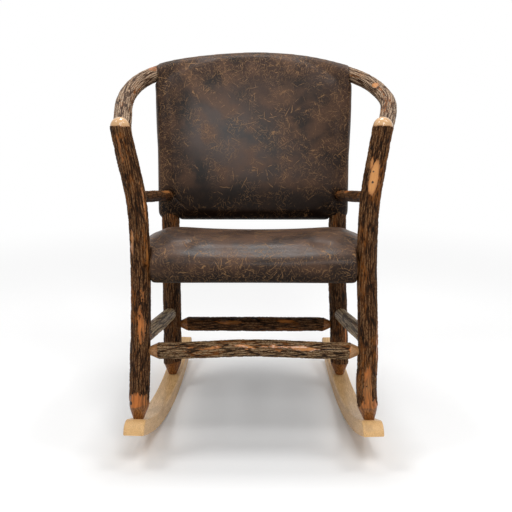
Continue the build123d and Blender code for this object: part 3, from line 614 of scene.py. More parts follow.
def batten(stations, step=2.6):
    """The curve a springy batten takes through stations (x, y, z, radius), in small steps."""
    stations = np.asarray(stations, dtype=float)
    gaps = np.linalg.norm(np.diff(stations[:, :3], axis=0), axis=1)
    marks = np.concatenate([[0.0], np.cumsum(gaps)])
    last = len(stations) - 1
    system, pull = np.eye(last + 1), np.zeros_like(stations)
    for i in range(1, last):
        system[i, i - 1:i + 2] = gaps[i - 1], 2 * (gaps[i - 1] + gaps[i]), gaps[i]
        slope_after = (stations[i + 1] - stations[i]) / gaps[i]
        slope_before = (stations[i] - stations[i - 1]) / gaps[i - 1]
        pull[i] = 6 * (slope_after - slope_before)
    bend = np.linalg.solve(system, pull)
    spots = np.linspace(0, marks[-1], round(marks[-1] / step) + 1)
    span = np.clip(np.searchsorted(marks, spots, side="right") - 1, 0, last - 1)
    gap = gaps[span][:, None]
    after = (marks[span + 1] - spots)[:, None] / gap
    before = 1 - after
    straight = after * stations[span] + before * stations[span + 1]
    curved = (after ** 3 - after) * bend[span] + (before ** 3 - before) * bend[span + 1]
    return straight + curved * gap ** 2 / 6


def cone(shoulder, tip, radius, tip_radius, stub=9.0, step=1.7):
    """A whittled end from its shoulder to its tip, and a short stub beyond the tip."""
    shoulder, tip = np.asarray(shoulder, float), np.asarray(tip, float)
    length = np.linalg.norm(tip - shoulder)
    heading = (tip - shoulder) / length
    far = np.arange(step, length + stub, step)
    share = np.clip(far / length, 0, 1)
    radii = tip_radius + (radius - tip_radius) * (1 - share ** 1.15)
    return np.column_stack([shoulder + heading * far[:, None], radii])


def dome(end, heading, radius):
    """A rounded head that starts at the end of the pole."""
    turn = np.radians(np.concatenate([np.arange(4, 82, 4.5), [84, 88]]))
    rise = np.sin(turn)[:, None] * radius
    return np.column_stack([end + unit(heading) * rise, radius * np.cos(turn)])


def pole_path(stations, first, last):
    """A pole's points with both ends, and how far each lies past the bark's cut edges."""
    path = np.vstack([first[::-1], batten(stations), last])
    steps = np.linalg.norm(np.diff(path[:, :3], axis=0), axis=1)
    along = np.concatenate([[0.0], np.cumsum(steps)])
    bare = np.maximum(along[len(first)] - along, along - along[-1 - len(last)])
    return path, along, bare


print("a 100 mm batten in", len(batten([(0, 0, 0, 5), (0, 0, 50, 6), (0, 0, 100, 5)])), "points")

# %% [markdown]
# ## From a line to a finished pole
# The tree needs a line whose points know how thick the pole is, where it heads and how far the
# end of the bark is. These could be worked out in nodes too, but a few lines of Python are easier
# to read. The result is kept as a plain mesh, so nothing about it can change later.

# %% Values on points and plain results
def store_values(name, points, values, form):
    """Keep one value a point under a name."""
    layer = points.attributes.new(name, form, "POINT")
    layer.data.foreach_set("vector" if form == "FLOAT_VECTOR" else "value", np.ravel(values))


def tree_inputs(tree):
    return {item.name: item.identifier for item in tree.interface.items_tree
            if item.item_type == "SOCKET" and item.in_out == "INPUT"}


def made_plain(piece, name):
    """The evaluated shape of an object as a plain mesh object; the maker's object goes."""
    final = piece.evaluated_get(bpy.context.evaluated_depsgraph_get())
    result = bpy.data.meshes.new_from_object(final)
    bpy.data.objects.remove(piece)
    result.name = name
    return add_object(name, result)


print("every pole is grown from", len(tree_inputs(pole_tree)), "named inputs")

# %% Grow one pole into a finished piece
def grow_pole(name, node, line, facing, bark, patches=(), knots=(), pale=(0.3, 0.3), **sizes):
    """Sweep a pole along its line (path, along, bare) and give it its bark and patches.

    pale is how light the cut wood is at the start and at the end of the pole."""
    path, along, bare = line
    points = at_rest(path[:, :3])
    heading = units(np.gradient(points, axis=0))
    bloom = np.where(along < along[-1] / 2, pale[0], pale[1]) * (bare > -6.0)
    give = np.clip(np.minimum(path[:, 3], 8.0) / 8.0, 0.15, 1.0)
    mesh = bpy.data.meshes.new(name + "_line")
    mesh.from_pydata(points, [(i, i + 1) for i in range(len(points) - 1)], [])
    numbers = {"girth": path[:, 3] / 1000, "along": along, "bare": bare, "give": give,
               "bloom": bloom}
    directions = {"centre": points, "heading": heading}
    for label, values in numbers.items():
        store_values(label, mesh, values, "FLOAT")
    for label, values in directions.items():
        store_values(label, mesh, values, "FLOAT_VECTOR")
    piece = add_object(name + "_line", mesh)
    modifier = piece.modifiers.new("bark", "NODES")
    modifier.node_group = pole_tree
    sockets = tree_inputs(pole_tree)
    values = {"Facing": tuple(facing), "Bark": bark, **sizes}
    for i, (spot, size, light) in enumerate(patches):
        values[f"Patch {i + 1}"] = spot
        values[f"Patch {i + 1} Size"] = size
        values[f"Patch {i + 1} Pale"] = light
    for i, (spot, radius) in enumerate(knots):
        values[f"Knot {i + 1}"] = spot
        values[f"Knot {i + 1} Radius"] = radius
    for label, value in values.items():
        modifier[sockets[label]] = value
    pole = made_plain(piece, name)
    for label in (*numbers, *directions):
        if label in pole.data.attributes:
            pole.data.attributes.remove(pole.data.attributes[label])
    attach(pole, "root")
    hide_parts(node)
    print(f"{name}: {len(pole.data.polygons)} faces, {along[-1]:.0f} mm long")
    return pole


def spot_round(line, i, angle):
    """A spot on a pole at its point i: out to the front, aside and along, in mm."""
    path, along, bare = line
    turn = math.radians(angle)
    return (path[i, 3] * math.cos(turn), path[i, 3] * math.sin(turn), float(along[i]))


def spot_at(line, height, angle):
    """A spot on an upright pole by its height and its angle from the front."""
    return spot_round(line, int(np.argmin(np.abs(line[0][:, 2] - height))), angle)


print("up to", patch_slots, "bare patches and", knot_slots, "knots on a pole")

# %% [markdown]
# ## Posts
# Four posts carry everything. Each stands on its rocker on a whittled foot. The front posts run on
# past the arms and end in sawn, rounded heads; the back posts end in a cone under the hoop. One
# post could be copied and mirrored, but no two young trees are alike, so each has its own
# stations, and its own list of ragged patches where the bark has come off.

# %% Where the posts stand and how they bend
rocker_depth = 35.6
front_foot, back_foot = (265.0, -291.0), (235.5, 139.0)
toe_in = Vector((back_foot[0] - front_foot[0], back_foot[1] - front_foot[1], 0)).normalized().y
foot_cone, foot_radius = 31.0, 11.5
back_cone, back_top_radius, back_cone_tip, back_cone_seat = 23.0, 20.0, 11.0, 3.6
hoop_slope = math.radians(22.5)
hoop_plane_y, hoop_plane_height = -235.0, 700.0


def rocker_top(y):
    """The height of a rocker's round top face."""
    along = (y - contact_y) / toe_in
    return sole_radius - math.sqrt((sole_radius - rocker_depth) ** 2 - along ** 2)


def post_stations(side, foot, upper):
    """The stations of a post, its foot's shoulder first, and the tip of the foot."""
    tip = np.array([side * foot[0], foot[1], rocker_top(foot[1])])
    shoulder = tip + unit(np.array(upper[0][:3]) - tip) * foot_cone
    return [(*shoulder, upper[0][3])] + upper, tip


posts = {
    "front_post_left": post_stations(-1, front_foot, [
        (-263.5, -285, 118, 22.8), (-260.3, -279, 210, 22.6), (-257.8, -273, 302, 22.0),
        (-256.9, -267, 387, 21.8), (-259.2, -260, 507, 21.8), (-266.0, -255, 581, 22.4),
        (-283.6, -250, 664, 22.6), (-299.0, -246, 737, 22.0)]),
    "front_post_right": post_stations(1, front_foot, [
        (259.4, -285, 118, 22.8), (259.3, -279, 210, 22.6), (258.8, -273, 302, 22.2),
        (256.0, -267, 387, 22.0), (256.2, -260, 507, 22.0), (261.3, -255, 581, 22.2),
        (274.4, -250, 664, 22.4), (286.6, -246, 737, 22.2)]),
    "back_post_left": post_stations(-1, back_foot, [
        (-235.0, 143.5, 104, 24.4), (-235.2, 150.0, 231, 24.4), (-235.7, 155.0, 288, 24.2),
        (-237.2, 170.0, 477, 23.6), (-243.0, 197.0, 674, 22.0), (-247.6, 214.5, 785, 21.0)]),
    "back_post_right": post_stations(1, back_foot, [
        (234.1, 143.5, 104, 24.4), (230.5, 150.0, 231, 24.4), (227.5, 155.0, 288, 24.2),
        (225.3, 170.0, 477, 23.6), (229.0, 193.0, 674, 22.0), (233.2, 204.6, 785, 20.8)])}


print("stations on each post:", [len(stations) for stations, foot in posts.values()])

# %% Lines of the posts, from foot to head
def on_hoop(x, y):
    """A point of the hoop's centre, by its place in plan."""
    return np.array([x, y, hoop_plane_height + math.tan(hoop_slope) * (y - hoop_plane_y)])


def on_post(name, height):
    """The centre and the radius of a post at a height."""
    line = batten(posts[name][0], 1.0)
    i = int(np.argmin(np.abs(line[:, 2] - height)))
    return line[i, :3], line[i, 3]


hoop_cross = {"left": (-252.0, 232.0, 20.2), "right": (238.0, 216.0, 19.2)}
lines = {}
for name, (stations, foot) in posts.items():
    start = cone(stations[0][:3], foot, stations[0][3], foot_radius, stub=2.0)
    if "front" in name:
        end = np.array(stations[-1][:3])
        finish = dome(end, end - np.array(stations[-2][:3]), stations[-1][3])
    else:
        x, y, hoop_radius = hoop_cross[name.split("_")[-1]]
        over = on_hoop(x, y)
        up = unit(over - np.array(stations[-1][:3]))
        top = over - up * (hoop_radius - back_cone_seat + back_cone)
        stations.append((*top, back_top_radius))
        finish = cone(top, top + up * back_cone, back_top_radius, back_cone_tip, stub=4.0)
    lines[name] = pole_path(stations, start, finish)

print("posts in mm:", {name: round(float(line[1][-1])) for name, line in lines.items()})

# %% Grow the four posts
# A bare patch: height, angle from the front, half width, half length, raggedness and paleness.
post_patches = {
    "front_post_left": [
        (680, -20, 4, 34, 3.5, 0.2), (564, 57, 4, 44, 3, 0.7), (450, 56, 4, 40, 3, 0.45),
        (290, 12, 7, 36, 12, 0.2), (478, -44, 5, 28, 4, 0.5), (92, -10, 36, 46, 9, 0.12)],
    "front_post_right": [
        (625, -6, 10.5, 41, 1.2, 0.95), (655, -33, 4, 16, 1.5, 0.6), (246, 66, 5, 48, 3, 0.4),
        (140, 2, 11, 58, 4, 0.2), (88, 10, 30, 34, 8, 0.12)],
    "back_post_left": [(620, 150, 7, 44, 4, 0.25)],
    "back_post_right": [(160, 45, 3, 46, 2.5, 0.25), (400, 100, 6, 40, 4, 0.25)]}
# A knot: height, angle from the front and radius.
post_knots = {
    "front_post_left": [(276, 39, 2.6), (438, 42, 2.2), (112, -48, 5.0)],
    "front_post_right": [(638, -15, 2.4), (614, -9, 3.0), (154, -6, 2.2), (180, -33, 2.2)]}
for seed, (name, line) in enumerate(lines.items()):
    place, side = name.split("_")[0], name.split("_")[2]
    patches = [(spot_at(line, height, angle), (half_width, half_length, ragged), light)
               for height, angle, half_width, half_length, ragged, light in post_patches[name]]
    knots = [(spot_at(line, height, angle), radius)
             for height, angle, radius in post_knots.get(name, [])]
    grow_pole(f"{side}_{place}_post", name, line, turned((0, -1, 0)), post_bark, patches, knots,
              (0.02, 0.9 if place == "front" else 0.3), Seed=1.0 + seed,
              **{"Edge Slant": 5.0 if side == "left" else -3.0})

# %% [markdown]
# ## The arm hoop
# One long pole is steamed and bent into both arms and the top of the back. Its bark has gone grey
# where hands rest, and its whittled ends go into the front posts. Three separate curves would
# need joints that the real one lacks. So it is one batten in a plane that rises to the rear, and
# its points need only a place in plan and a radius.

# %% The arm hoop
hoop_points = [
    (-311, -151, 21.0), (-319.5, -88, 21.2), (-330, 2, 21.5), (-326.5, 86, 21.2), (-303, 166, 20.6),
    hoop_cross["left"], (-140, 288, 20.0), (0, 313, 19.6), (140, 283, 19.4), hoop_cross["right"],
    (289, 158, 19.0), (326, 62, 19.0), (333, 0, 19.0), (326.5, -55, 19.4), (313, -118, 19.8),
    (300.5, -166, 20.0)]
hoop_stations = [(*on_hoop(x, y), radius) for x, y, radius in hoop_points]
hoop_joint_height, hoop_cone, hoop_cone_sink, hoop_tip_radius = 697.0, 24.0, 4.0, 11.0


def hoop_end(post, station):
    """The shoulder of the hoop's cone at a front post, and the cone."""
    target, post_radius = on_post(post, hoop_joint_height)
    heading = unit(target - np.array(station[:3]))
    tip = target - heading * (post_radius - hoop_cone_sink)
    shoulder, radius = tip - heading * hoop_cone, station[3]
    return (*shoulder, radius), cone(shoulder, tip, radius, hoop_tip_radius)


left_shoulder, left_cone = hoop_end("front_post_left", hoop_stations[0])
right_shoulder, right_cone = hoop_end("front_post_right", hoop_stations[-1])
hoop_line = pole_path([left_shoulder, *hoop_stations, right_shoulder], left_cone, right_cone)


def hoop_spot(x, y, angle):
    """A spot on the hoop by its plan place; the angle is from the top towards the inside."""
    far = np.linalg.norm(hoop_line[0][:, :2] - (x, y), axis=1)
    return spot_round(hoop_line, int(np.argmin(far)), angle)


hoop_patches = [
    (hoop_spot(322, 85, 35), (9, 17, 3.0), 0.6), (hoop_spot(329, 50, 30), (3, 12, 2.0), 0.3),
    (hoop_spot(-284, 196, 0), (14, 17, 5.0), 0.05), (hoop_spot(60, 308, 120), (7, 60, 4.0), 0.4)]
hoop_knots = [(hoop_spot(326, 62, -20), 3.0), (hoop_spot(322, -75, 10), 3.0),
              (hoop_spot(-327, 60, 0), 3.5)]
square_to_hoop = turned((0, -math.sin(hoop_slope), math.cos(hoop_slope)))
grow_pole("arm_and_back_hoop", "arm_hoop", hoop_line, square_to_hoop, hoop_bark, hoop_patches,
          hoop_knots, (0.4, 0.4), Seed=7.0, Sides=88, **{"Ridge Stretch": 2.2, "Ridge Height": 1.3})

# %% [markdown]
# ## Stretchers and arm rails
# Straight sticks tie the posts together. Their ends are cut like pencils and sit in round holes.
# They are the same kind of pole, so the same tree grows them.

# %% Rails that show
# Height at each post, radius, length of the cone and radius of its tip.
rail_sizes = {
    "side_stretcher": (258.0, 225.0, 17.5, 21.0, 9.0),
    "arm_rail": (581.0, 551.0, 13.0, 14.0, 8.0),
    "front_stretcher": (232.0, 232.0, 18.3, 21.0, 9.0),
    "back_stretcher": (192.0, 192.0, 18.6, 21.0, 9.0)}
cone_seat, rail_belly = 2.2, 0.8


def rail_line(kind, post_a, post_b, lift=0.0):
    """A rail from post to post, a little thicker in the middle and lifted there if it bows."""
    height_a, height_b, radius, cone_length, tip_radius = rail_sizes[kind]
    (centre_a, girth_a), (centre_b, girth_b) = on_post(post_a, height_a), on_post(post_b, height_b)
    run = unit(centre_b - centre_a)
    tip_a, tip_b = centre_a + run * (girth_a - cone_seat), centre_b - run * (girth_b - cone_seat)
    first, last = tip_a + run * cone_length, tip_b - run * cone_length
    stations = []
    for share in (0.0, 0.06, 0.25, 0.5, 0.75, 0.94, 1.0):
        rise = lift * max(0.0, 1 - abs(share - 0.5) / 0.44)
        belly = rail_belly * (1 - abs(2 * share - 1))
        stations.append((*(first + (last - first) * share + (0, 0, rise)), radius + belly))
    return pole_path(stations, cone(first, tip_a, radius, tip_radius),
                     cone(last, tip_b, radius, tip_radius))


def across(line, share, angle):
    """A spot on a rail: share along it, angle upwards from the side it faces."""
    return spot_round(line, int(share * (len(line[0]) - 1)), -angle)


print("kinds of rail:", ", ".join(rail_sizes))

# %% Front and back stretchers
front_bow = 6.5
line = rail_line("front_stretcher", "front_post_left", "front_post_right", front_bow)
patches = [(across(line, 0.72, 24), (6, 32, 3), 0.6), (across(line, 0.42, 25), (2, 50, 9), 0.6),
           (across(line, 0.955, 0), (24, 15, 5), 0.5)]
grow_pole("front_stretcher_pole", "front_stretcher", line, turned((0, -1, 0)), rail_bark, patches,
          [(across(line, 0.3, 30), 2.0)], (0.4, 0.45), Seed=11.0, Sides=88)

line = rail_line("back_stretcher", "back_post_left", "back_post_right")
patches = [(across(line, 0.36, 25), (6, 38, 3), 0.15), (across(line, 0.68, 40), (5, 22, 2.5), 0.4)]
grow_pole("back_stretcher_pole", "back_stretcher", line, turned((0, -1, 0)), post_bark, patches,
          [], (0.1, 0.1), Seed=12.0, Sides=88)

# %% Side stretchers and arm rails
arm_patches = {"left": (0.76, -115, (9, 60, 3), 0.3), "right": (0.6, 120, (6, 40, 3), 0.1)}
for seed, side in enumerate(arm_patches):
    outward = turned((-1 if side == "left" else 1, 0, 0))
    line = rail_line("side_stretcher", "front_post_" + side, "back_post_" + side)
    grow_pole(side + "_side_stretcher", "side_stretcher_" + side, line, outward, side_bark,
              [], [(across(line, 0.62, 30), 3.0)], Seed=14.0 + seed, Sides=80,
              **{"Ridge Height": 0.7, "Ridge Stretch": 3.0})
    line = rail_line("arm_rail", "front_post_" + side, "back_post_" + side)
    share, angle, size, light = arm_patches[side]
    grow_pole(side + "_arm_rail", "arm_rail_" + side, line, outward, post_bark,
              [(across(line, share, angle), size, light)], [(across(line, 0.2, 60), 3.5)],
              Seed=17.0 + seed, Sides=72, **{"Ridge Height": 1.0})

# %% [markdown]
# ## Worn leather
# The seat and back wear pull-up leather: waxed, dark brown, paler and browner wherever it was
# bent, rubbed or scratched. Clouds of tone lie under a net of fine tan creases and some longer
# scuffs. One group holds the recipe, and the material adds the waxy sheen.

# %% Shader group for worn leather
def scratches(place, size, width):
    """Short fine scratches, one in each cell of a size: 1 on a scratch, its half width in mm."""
    cells = put(place.tree, "ShaderNodeTexVoronoi", {"Vector": place, "Scale": 1 / size})
    middle, chance, reach = [Flow(place.tree, cells.outputs[name])
                             for name in ("Position", "Color", "Distance")]
    across = chance.vector("SUBTRACT", (0.5, 0.5, 0.5)).vector("NORMALIZE")
    off = place.vector("SUBTRACT", middle).vector("DOT_PRODUCT", across).math("ABSOLUTE")
    return off.between(width, width * 0.35) * reach.between(0.62, 0.4)


def build_leather_group():
    tree, given, end = new_group("worn leather", "ShaderNodeTree", [
        ("Place", "Vector"), ("Age", "Float", 0.5), ("Shade", "Float"), ("Rim", "Float"),
        ("Deep", "Color", paint(20, 12, 8)), ("Brown", "Color", paint(58, 41, 32)),
        ("Worn", "Color", paint(88, 64, 49)), ("Scuff", "Color", paint(166, 127, 88))],
        skin_outputs)
    place, rim, shade = given["Place"], given["Rim"], given["Shade"]
    big = clouds(swayed(place, 0.006, 60.0), 0.011, 2.0, 0.5)
    middle = clouds(place, 0.05, 3.0, 0.5)
    colour = tint((big * 0.8 + middle * 0.2).between(0.3, 0.6), given["Deep"], given["Brown"])
    worn = clouds(swayed(place, 0.01, 30.0), 0.017, 2.0, 0.5) + given["Age"] * 0.2 - 0.1
    worn = worn.between(0.45, 0.7)
    colour = tint(worn * 0.75, colour, given["Worn"])
    bent = swayed(place, 0.06, 6.5)
    aside, back, up = [bent.vector("ADD", far) for far in ((400, 0, 0), (0, 700, 0), (0, 0, 900))]
    where = clouds(place, 0.02, 2.0).between(0.44, 0.6).most(rim)
    long_lines = scratches(bent, 34.0, 0.75).most(scratches(aside, 27.0, 0.6))
    long_lines = long_lines * clouds(place, 0.015, 2.0).between(0.42, 0.52)
    long_lines = long_lines * clouds(place, 0.2, 2.0).between(0.36, 0.5)
    short_lines = scratches(bent, 13.0, 0.44).most(scratches(back, 10.0, 0.4))
    short_lines = short_lines.most(scratches(up, 7.0, 0.34) * 0.8)
    tan = long_lines.most(short_lines * (where * 0.85 + 0.06)) * (given["Age"] * 0.4 + 0.6)
    pores = clouds(place, 0.9, 3.0, 0.6)
    pebble = cracks(swayed(place, 0.4, 1.2), 0.42)
    pits = pores.between(0.5, 0.34) * 0.3 + pebble.between(0.1, 0.0) * 0.25
    colour = tint(pits, colour, given["Deep"])
    # Painted shade: where Shade is high the colour goes towards Deep, and the tan scratches fade
    # there.
    dark = shade * (middle * 0.5 + 0.7)
    colour = tint(dark.between(0.0, 1.1) * 0.9, colour, given["Deep"])
    colour = tint(tan * (dark * 0.35).flipped() * 0.8, colour, given["Scuff"])
    height = pebble.between(0.0, 0.3) * 0.25 + pores * 0.12 - tan * 0.3 + middle * 0.7
    rough = worn * 0.12 + tan * 0.3 + (pores - 0.5) * 0.15 + 0.36
    gloss = (shade.most(rim * 0.8)).flipped() * (worn * 0.4).flipped() * tan.flipped() * 0.22
    hand_out(tree, end, {"Colour": colour, "Roughness": rough, "Gloss": gloss, "Height": height})
    return tree


worn_leather = build_leather_group()


print("worn leather group:", len(worn_leather.nodes), "nodes")

# %% Leather for the seat and for the back
def leather_finish(name, age, shaded, sides, edges):
    """Leather with painted shade down a range of heights, and creases over two more, all in metres.
    """
    material, tree, shader = new_material(name)
    place = object_place(tree)
    x, y, z = split(place)
    group = put(tree, "ShaderNodeGroup", {
        "Place": stretched(place, 1000, 1000, 1000), "Age": age, "Shade": z.between(*shaded),
        "Rim": x.math("ABSOLUTE").between(*sides).most(z.between(*edges))}, node_tree=worn_leather)
    dress_shader(tree, shader, group, 0.7, 0.0012, {
        "Specular IOR Level": 0.09, "Coat Roughness": 0.3})
    return material


# The shaded heights are painted shade: the seat's rolled-under front and the bottom of the back.
seat_leather = leather_finish("worn leather of the seat", 0.75, shaded=(0.468, 0.416),
                              sides=(0.15, 0.25), edges=(0.49, 0.43))
back_leather = leather_finish("worn leather of the back", 0.55, shaded=(0.60, 0.525),
                              sides=(0.16, 0.26), edges=(0.82, 0.88))
print("leather finishes:", seat_leather.name, "/", back_leather.name)

# %% [markdown]
# ## How padded leather gets its shape
# A cushion is a bag that stuffing pushes outwards. So each one starts as a slightly smaller form
# of stacked outlines, with holes where wood goes in. A voxel remesh gives it an even net, and
# Blender's cloth blows it up with a little pressure. Its movement is capped, it is kept off the
# wood, and one subdivision makes it smooth.

# %% Forms of stacked outlines
def stacked(name, outlines):
    """A closed mesh through a row of closed outlines with equally many points (upright, mm)."""
    rows, count = len(outlines), len(outlines[0])
    points = at_rest(np.vstack(outlines))
    sides = [(i, (i + 1) % count) for i in range(count)]
    faces = [(r * count + i, r * count + j, (r + 1) * count + j, (r + 1) * count + i)
             for r in range(rows - 1) for i, j in sides]
    faces += [tuple(reversed(range(count))), tuple(range((rows - 1) * count, rows * count))]
    mesh = bpy.data.meshes.new(name)
    mesh.from_pydata(points, [], faces)
    tidy = bmesh.new()
    tidy.from_mesh(mesh)
    bmesh.ops.recalc_face_normals(tidy, faces=tidy.faces)
    tidy.to_mesh(mesh)
    tidy.free()
    return add_object(name, mesh)


def tube(name, path, grow, sides=40):
    """A plain closed tube along a path (x, y, z, radius), a little thicker than it, for cutting."""
    centre = path[:, :3]
    heading = units(np.gradient(centre, axis=0))
    leaning = (0.31, 0.17, 0.93) if abs(heading[0, 2]) < 0.8 else (0.93, 0.31, 0.17)
    first = units(np.cross(heading, leaning))
    second = np.cross(heading, first)
    turns = np.linspace(0, 2 * math.pi, sides, endpoint=False)
    rings = [c + (r + grow) * (np.cos(turns)[:, None] * f + np.sin(turns)[:, None] * s)
             for c, r, f, s in zip(centre, path[:, 3], first, second)]
    return stacked(name, rings)


def cut_away(piece, cutters):
    """Take the cutters out of a piece, and the cutters away."""
    for i, cutter in enumerate(cutters):
        step = piece.modifiers.new(f"cut {i}", "BOOLEAN")
        step.object, step.operation, step.solver = cutter, "DIFFERENCE", "EXACT"
    finished = made_plain(piece, piece.name.replace("_form", ""))
    for cutter in cutters:
        bpy.data.objects.remove(cutter)
    return finished


print("form tools ready")

# %% Points of a piece, and an even net
def points_of(piece):
    spots = np.empty(3 * len(piece.data.vertices))
    piece.data.vertices.foreach_get("co", spots)
    return spots.reshape(-1, 3)


def normals_of(piece):
    normals = np.empty(3 * len(piece.data.vertices))
    piece.data.vertex_normals.foreach_get("vector", normals)
    return normals.reshape(-1, 3)


def move_points(piece, spots):
    piece.data.vertices.foreach_set("co", np.ravel(spots))
    piece.data.update()


def even_net(piece, size):
    """Remesh a piece with small cubes of this size, in metres."""
    step = piece.modifiers.new("even net", "REMESH")
    step.mode, step.voxel_size = "VOXEL", size
    return made_plain(piece, piece.name)


print("net tools ready")

# %% Blow up, keep off the wood and smooth
def plump(piece, held, most, pressure=4.0, frames=20):
    """Blow a piece up like a cushion; held is 1 where it may not move, most is in metres."""
    start = points_of(piece)
    pins = piece.vertex_groups.new(name="held")
    for i in np.nonzero(held > 0.01)[0]:
        pins.add([int(i)], float(held[i]), "REPLACE")
    cloth = piece.modifiers.new("cloth", "CLOTH")
    ways = {"quality": 5, "mass": 0.3, "tension_stiffness": 18, "compression_stiffness": 18,
            "bending_stiffness": 1.2, "use_pressure": True, "uniform_pressure_force": pressure,
            "vertex_group_mass": pins.name}
    for option, value in ways.items():
        setattr(cloth.settings, option, value)
    cloth.settings.effector_weights.gravity = 0
    cloth.point_cache.frame_end = frames
    for frame in range(1, frames + 1):
        scene.frame_set(frame)
    swollen = piece.evaluated_get(bpy.context.evaluated_depsgraph_get()).to_mesh()
    end = np.empty(3 * len(swollen.vertices))
    swollen.vertices.foreach_get("co", end)
    normals = normals_of(piece)
    outward = np.maximum(((end.reshape(-1, 3) - start) * normals).sum(axis=1), 0)
    piece.modifiers.remove(cloth)
    scene.frame_set(1)
    move_points(piece, start + normals * (most * np.tanh(outward / most))[:, None])
    print(f"{piece.name}: swelled {outward.mean() * 1000:.1f} mm on average,",
          f"{outward.max() * 1000:.1f} at most")


def keep_off(piece, path, gap, near=40.0):
    """Push a piece's points out of a pole (upright path, mm) to a gap from its surface."""
    spots = points_of(piece)
    centres = at_rest(path[:, :3])
    low, high = centres.min(axis=0) - near / 1000, centres.max(axis=0) + near / 1000
    for i in np.nonzero(((spots > low) & (spots < high)).all(axis=1))[0]:
        away = centres - spots[i]
        j = int(np.argmin((away ** 2).sum(axis=1)))
        distance, wanted = math.sqrt((away[j] ** 2).sum()), (path[j, 3] + gap) / 1000
        if distance < wanted:
            spots[i] -= away[j] / distance * (wanted - distance)
    move_points(piece, spots)


def smoothed(piece):
    """Relaxed a little and subdivided once, as a plain mesh with smooth shading."""
    relax = piece.modifiers.new("relax", "SMOOTH")
    relax.factor, relax.iterations = 0.5, 9
    step = piece.modifiers.new("smooth", "SUBSURF")
    step.levels = step.render_levels = 1
    finished = made_plain(piece, piece.name)
    finished.data.shade_smooth()
    return finished


def dress(piece, material, slot, *replaced):
    """Give a finished piece its material, attach it to the frame and hide the solids it replaces.
    """
    piece.data.materials.clear()
    piece.data.materials.append(material)
    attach(piece, "root")
    if replaced:
        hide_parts(*replaced)


print("soft tools ready")

# %% [markdown]
# ## The seat cushion
# Leather is pulled over a thick pad, rolled down over the front rail and tacked underneath. The
# crest is low in the middle and rises on each side like a saddle. The corners are notched round
# the posts. A rounded box would be quicker, but it would miss the roll in front and the saddle.
# So outlines from front to back, in the plane of the seat rails, follow both.

# %% The seat's own plane and outline
seat_height, seat_drop = 414.0, 29.0       # of the front rail, and from it to the back rail
rail_heights = {"front": seat_height, "back": seat_height - seat_drop}
front_y, back_y = [on_post(place + "_post_left", height)[0][1]
                   for place, height in rail_heights.items()]
seat_depth = math.hypot(back_y - front_y, seat_drop)
seat_low, seat_tail, seat_back_top = -20.5, 22.0, 56.0
seat_dip, seat_saddle, seat_crest_side = 80.0, 9.0, 17.0
seat_crest_x, seat_side_x, seat_shoulder = 178.0, 276.0, 3.2


def on_seat(x, y, z):
    """A point in the seat's own plane as an upright point."""
    lean, drop = (back_y - front_y) / seat_depth, seat_drop / seat_depth
    return (x, front_y + y * lean + z * drop, seat_height - y * drop + z * lean)


def seat_outline(x, inset):
    """The cushion's outline at a place across the seat: over the top, then back underneath."""
    past = min(0.96, max(0.0, (abs(x) - seat_crest_x) / (seat_side_x - seat_crest_x)))
    crown = seat_dip + seat_saddle * min(1.0, (x / seat_crest_x) ** 2) - seat_crest_side
    crest = crown * (1 - past ** seat_shoulder) ** (1 / seat_shoulder) + seat_crest_side - inset
    low, tail = seat_low, seat_depth + seat_tail - inset
    back_top = min(seat_back_top, crest) - inset
    rise, spare = crest - low, crest - back_top
    nails = [(tail, back_top - 28), (tail, back_top - 14), (tail - 16, back_top)]
    nails += [(y, back_top + share * spare + hump) for y, share, hump in (
        (420, 0.01, 3.0), (360, 0.14, 11.2), (300, 0.39, 12.6), (240, 0.67, 9.3), (180, 0.89, 4.6))]
    nails += [(129, crest)] + [(y + inset, low + share * rise) for y, share in (
        (64, 0.944), (18, 0.82), (-11, 0.665), (-32, 0.479), (-38, 0.31), (-36, 0.18), (-28, 0.03),
        (-15, -0.055), (0, -0.06), (10, -0.03))]
    curve = batten([(y, z, 0, 0) for y, z in nails], 4.0)[:, :2]
    first = int(np.argmin(np.linalg.norm(curve - nails[1], axis=1)))
    last = int(np.argmin(np.linalg.norm(curve - nails[-2], axis=1)))
    over = resampled(curve[first:last + 1], 96)
    under = np.column_stack([np.linspace(2.0 + inset, tail - 8, 40)[1:], np.full(39, low)])
    up = np.column_stack([np.full(6, tail), np.linspace(low + 8, back_top - 14, 7)[:-1]])
    return np.array([on_seat(x, y, z) for y, z in np.vstack([over, under, up])])


def resampled(curve, count):
    """The same line with so many evenly spaced points."""
    marks = np.concatenate([[0], np.cumsum(np.linalg.norm(np.diff(curve, axis=0), axis=1))])
    spots = np.linspace(0, marks[-1], count)
    return np.column_stack([np.interp(spots, marks, curve[:, k]) for k in range(curve.shape[1])])


print("a seat outline has", len(seat_outline(0.0, 0.0)), "points")

# %% Notches round the posts, and the cushion
def seat_notches(grow):
    """What the posts, and the room outside them, take from the corners."""
    cutters = []
    for name, (stations, foot) in posts.items():
        side = -1 if "left" in name else 1
        height = rail_heights[name.split("_")[0]]
        away = -1 if "front" in name else 1
        line = batten(stations, 12.0)
        line = line[(line[:, 2] > height - 110) & (line[:, 2] < height + 170)]
        cutters.append(tube("notch_round", line, grow))
        spot, girth = on_post(name, height)
        inner = spot[0] - side * (girth + grow)
        outer = inner + side * 140.0
        near, far = spot[1], spot[1] + away * 100.0
        top, bottom = height + 150.0, height - 150.0
        rings = [[(x, near, top), (x, far, top), (x, far, bottom), (x, near, bottom)]
                 for x in (inner, outer)]
        cutters.append(stacked("notch_box", rings))
    return cutters


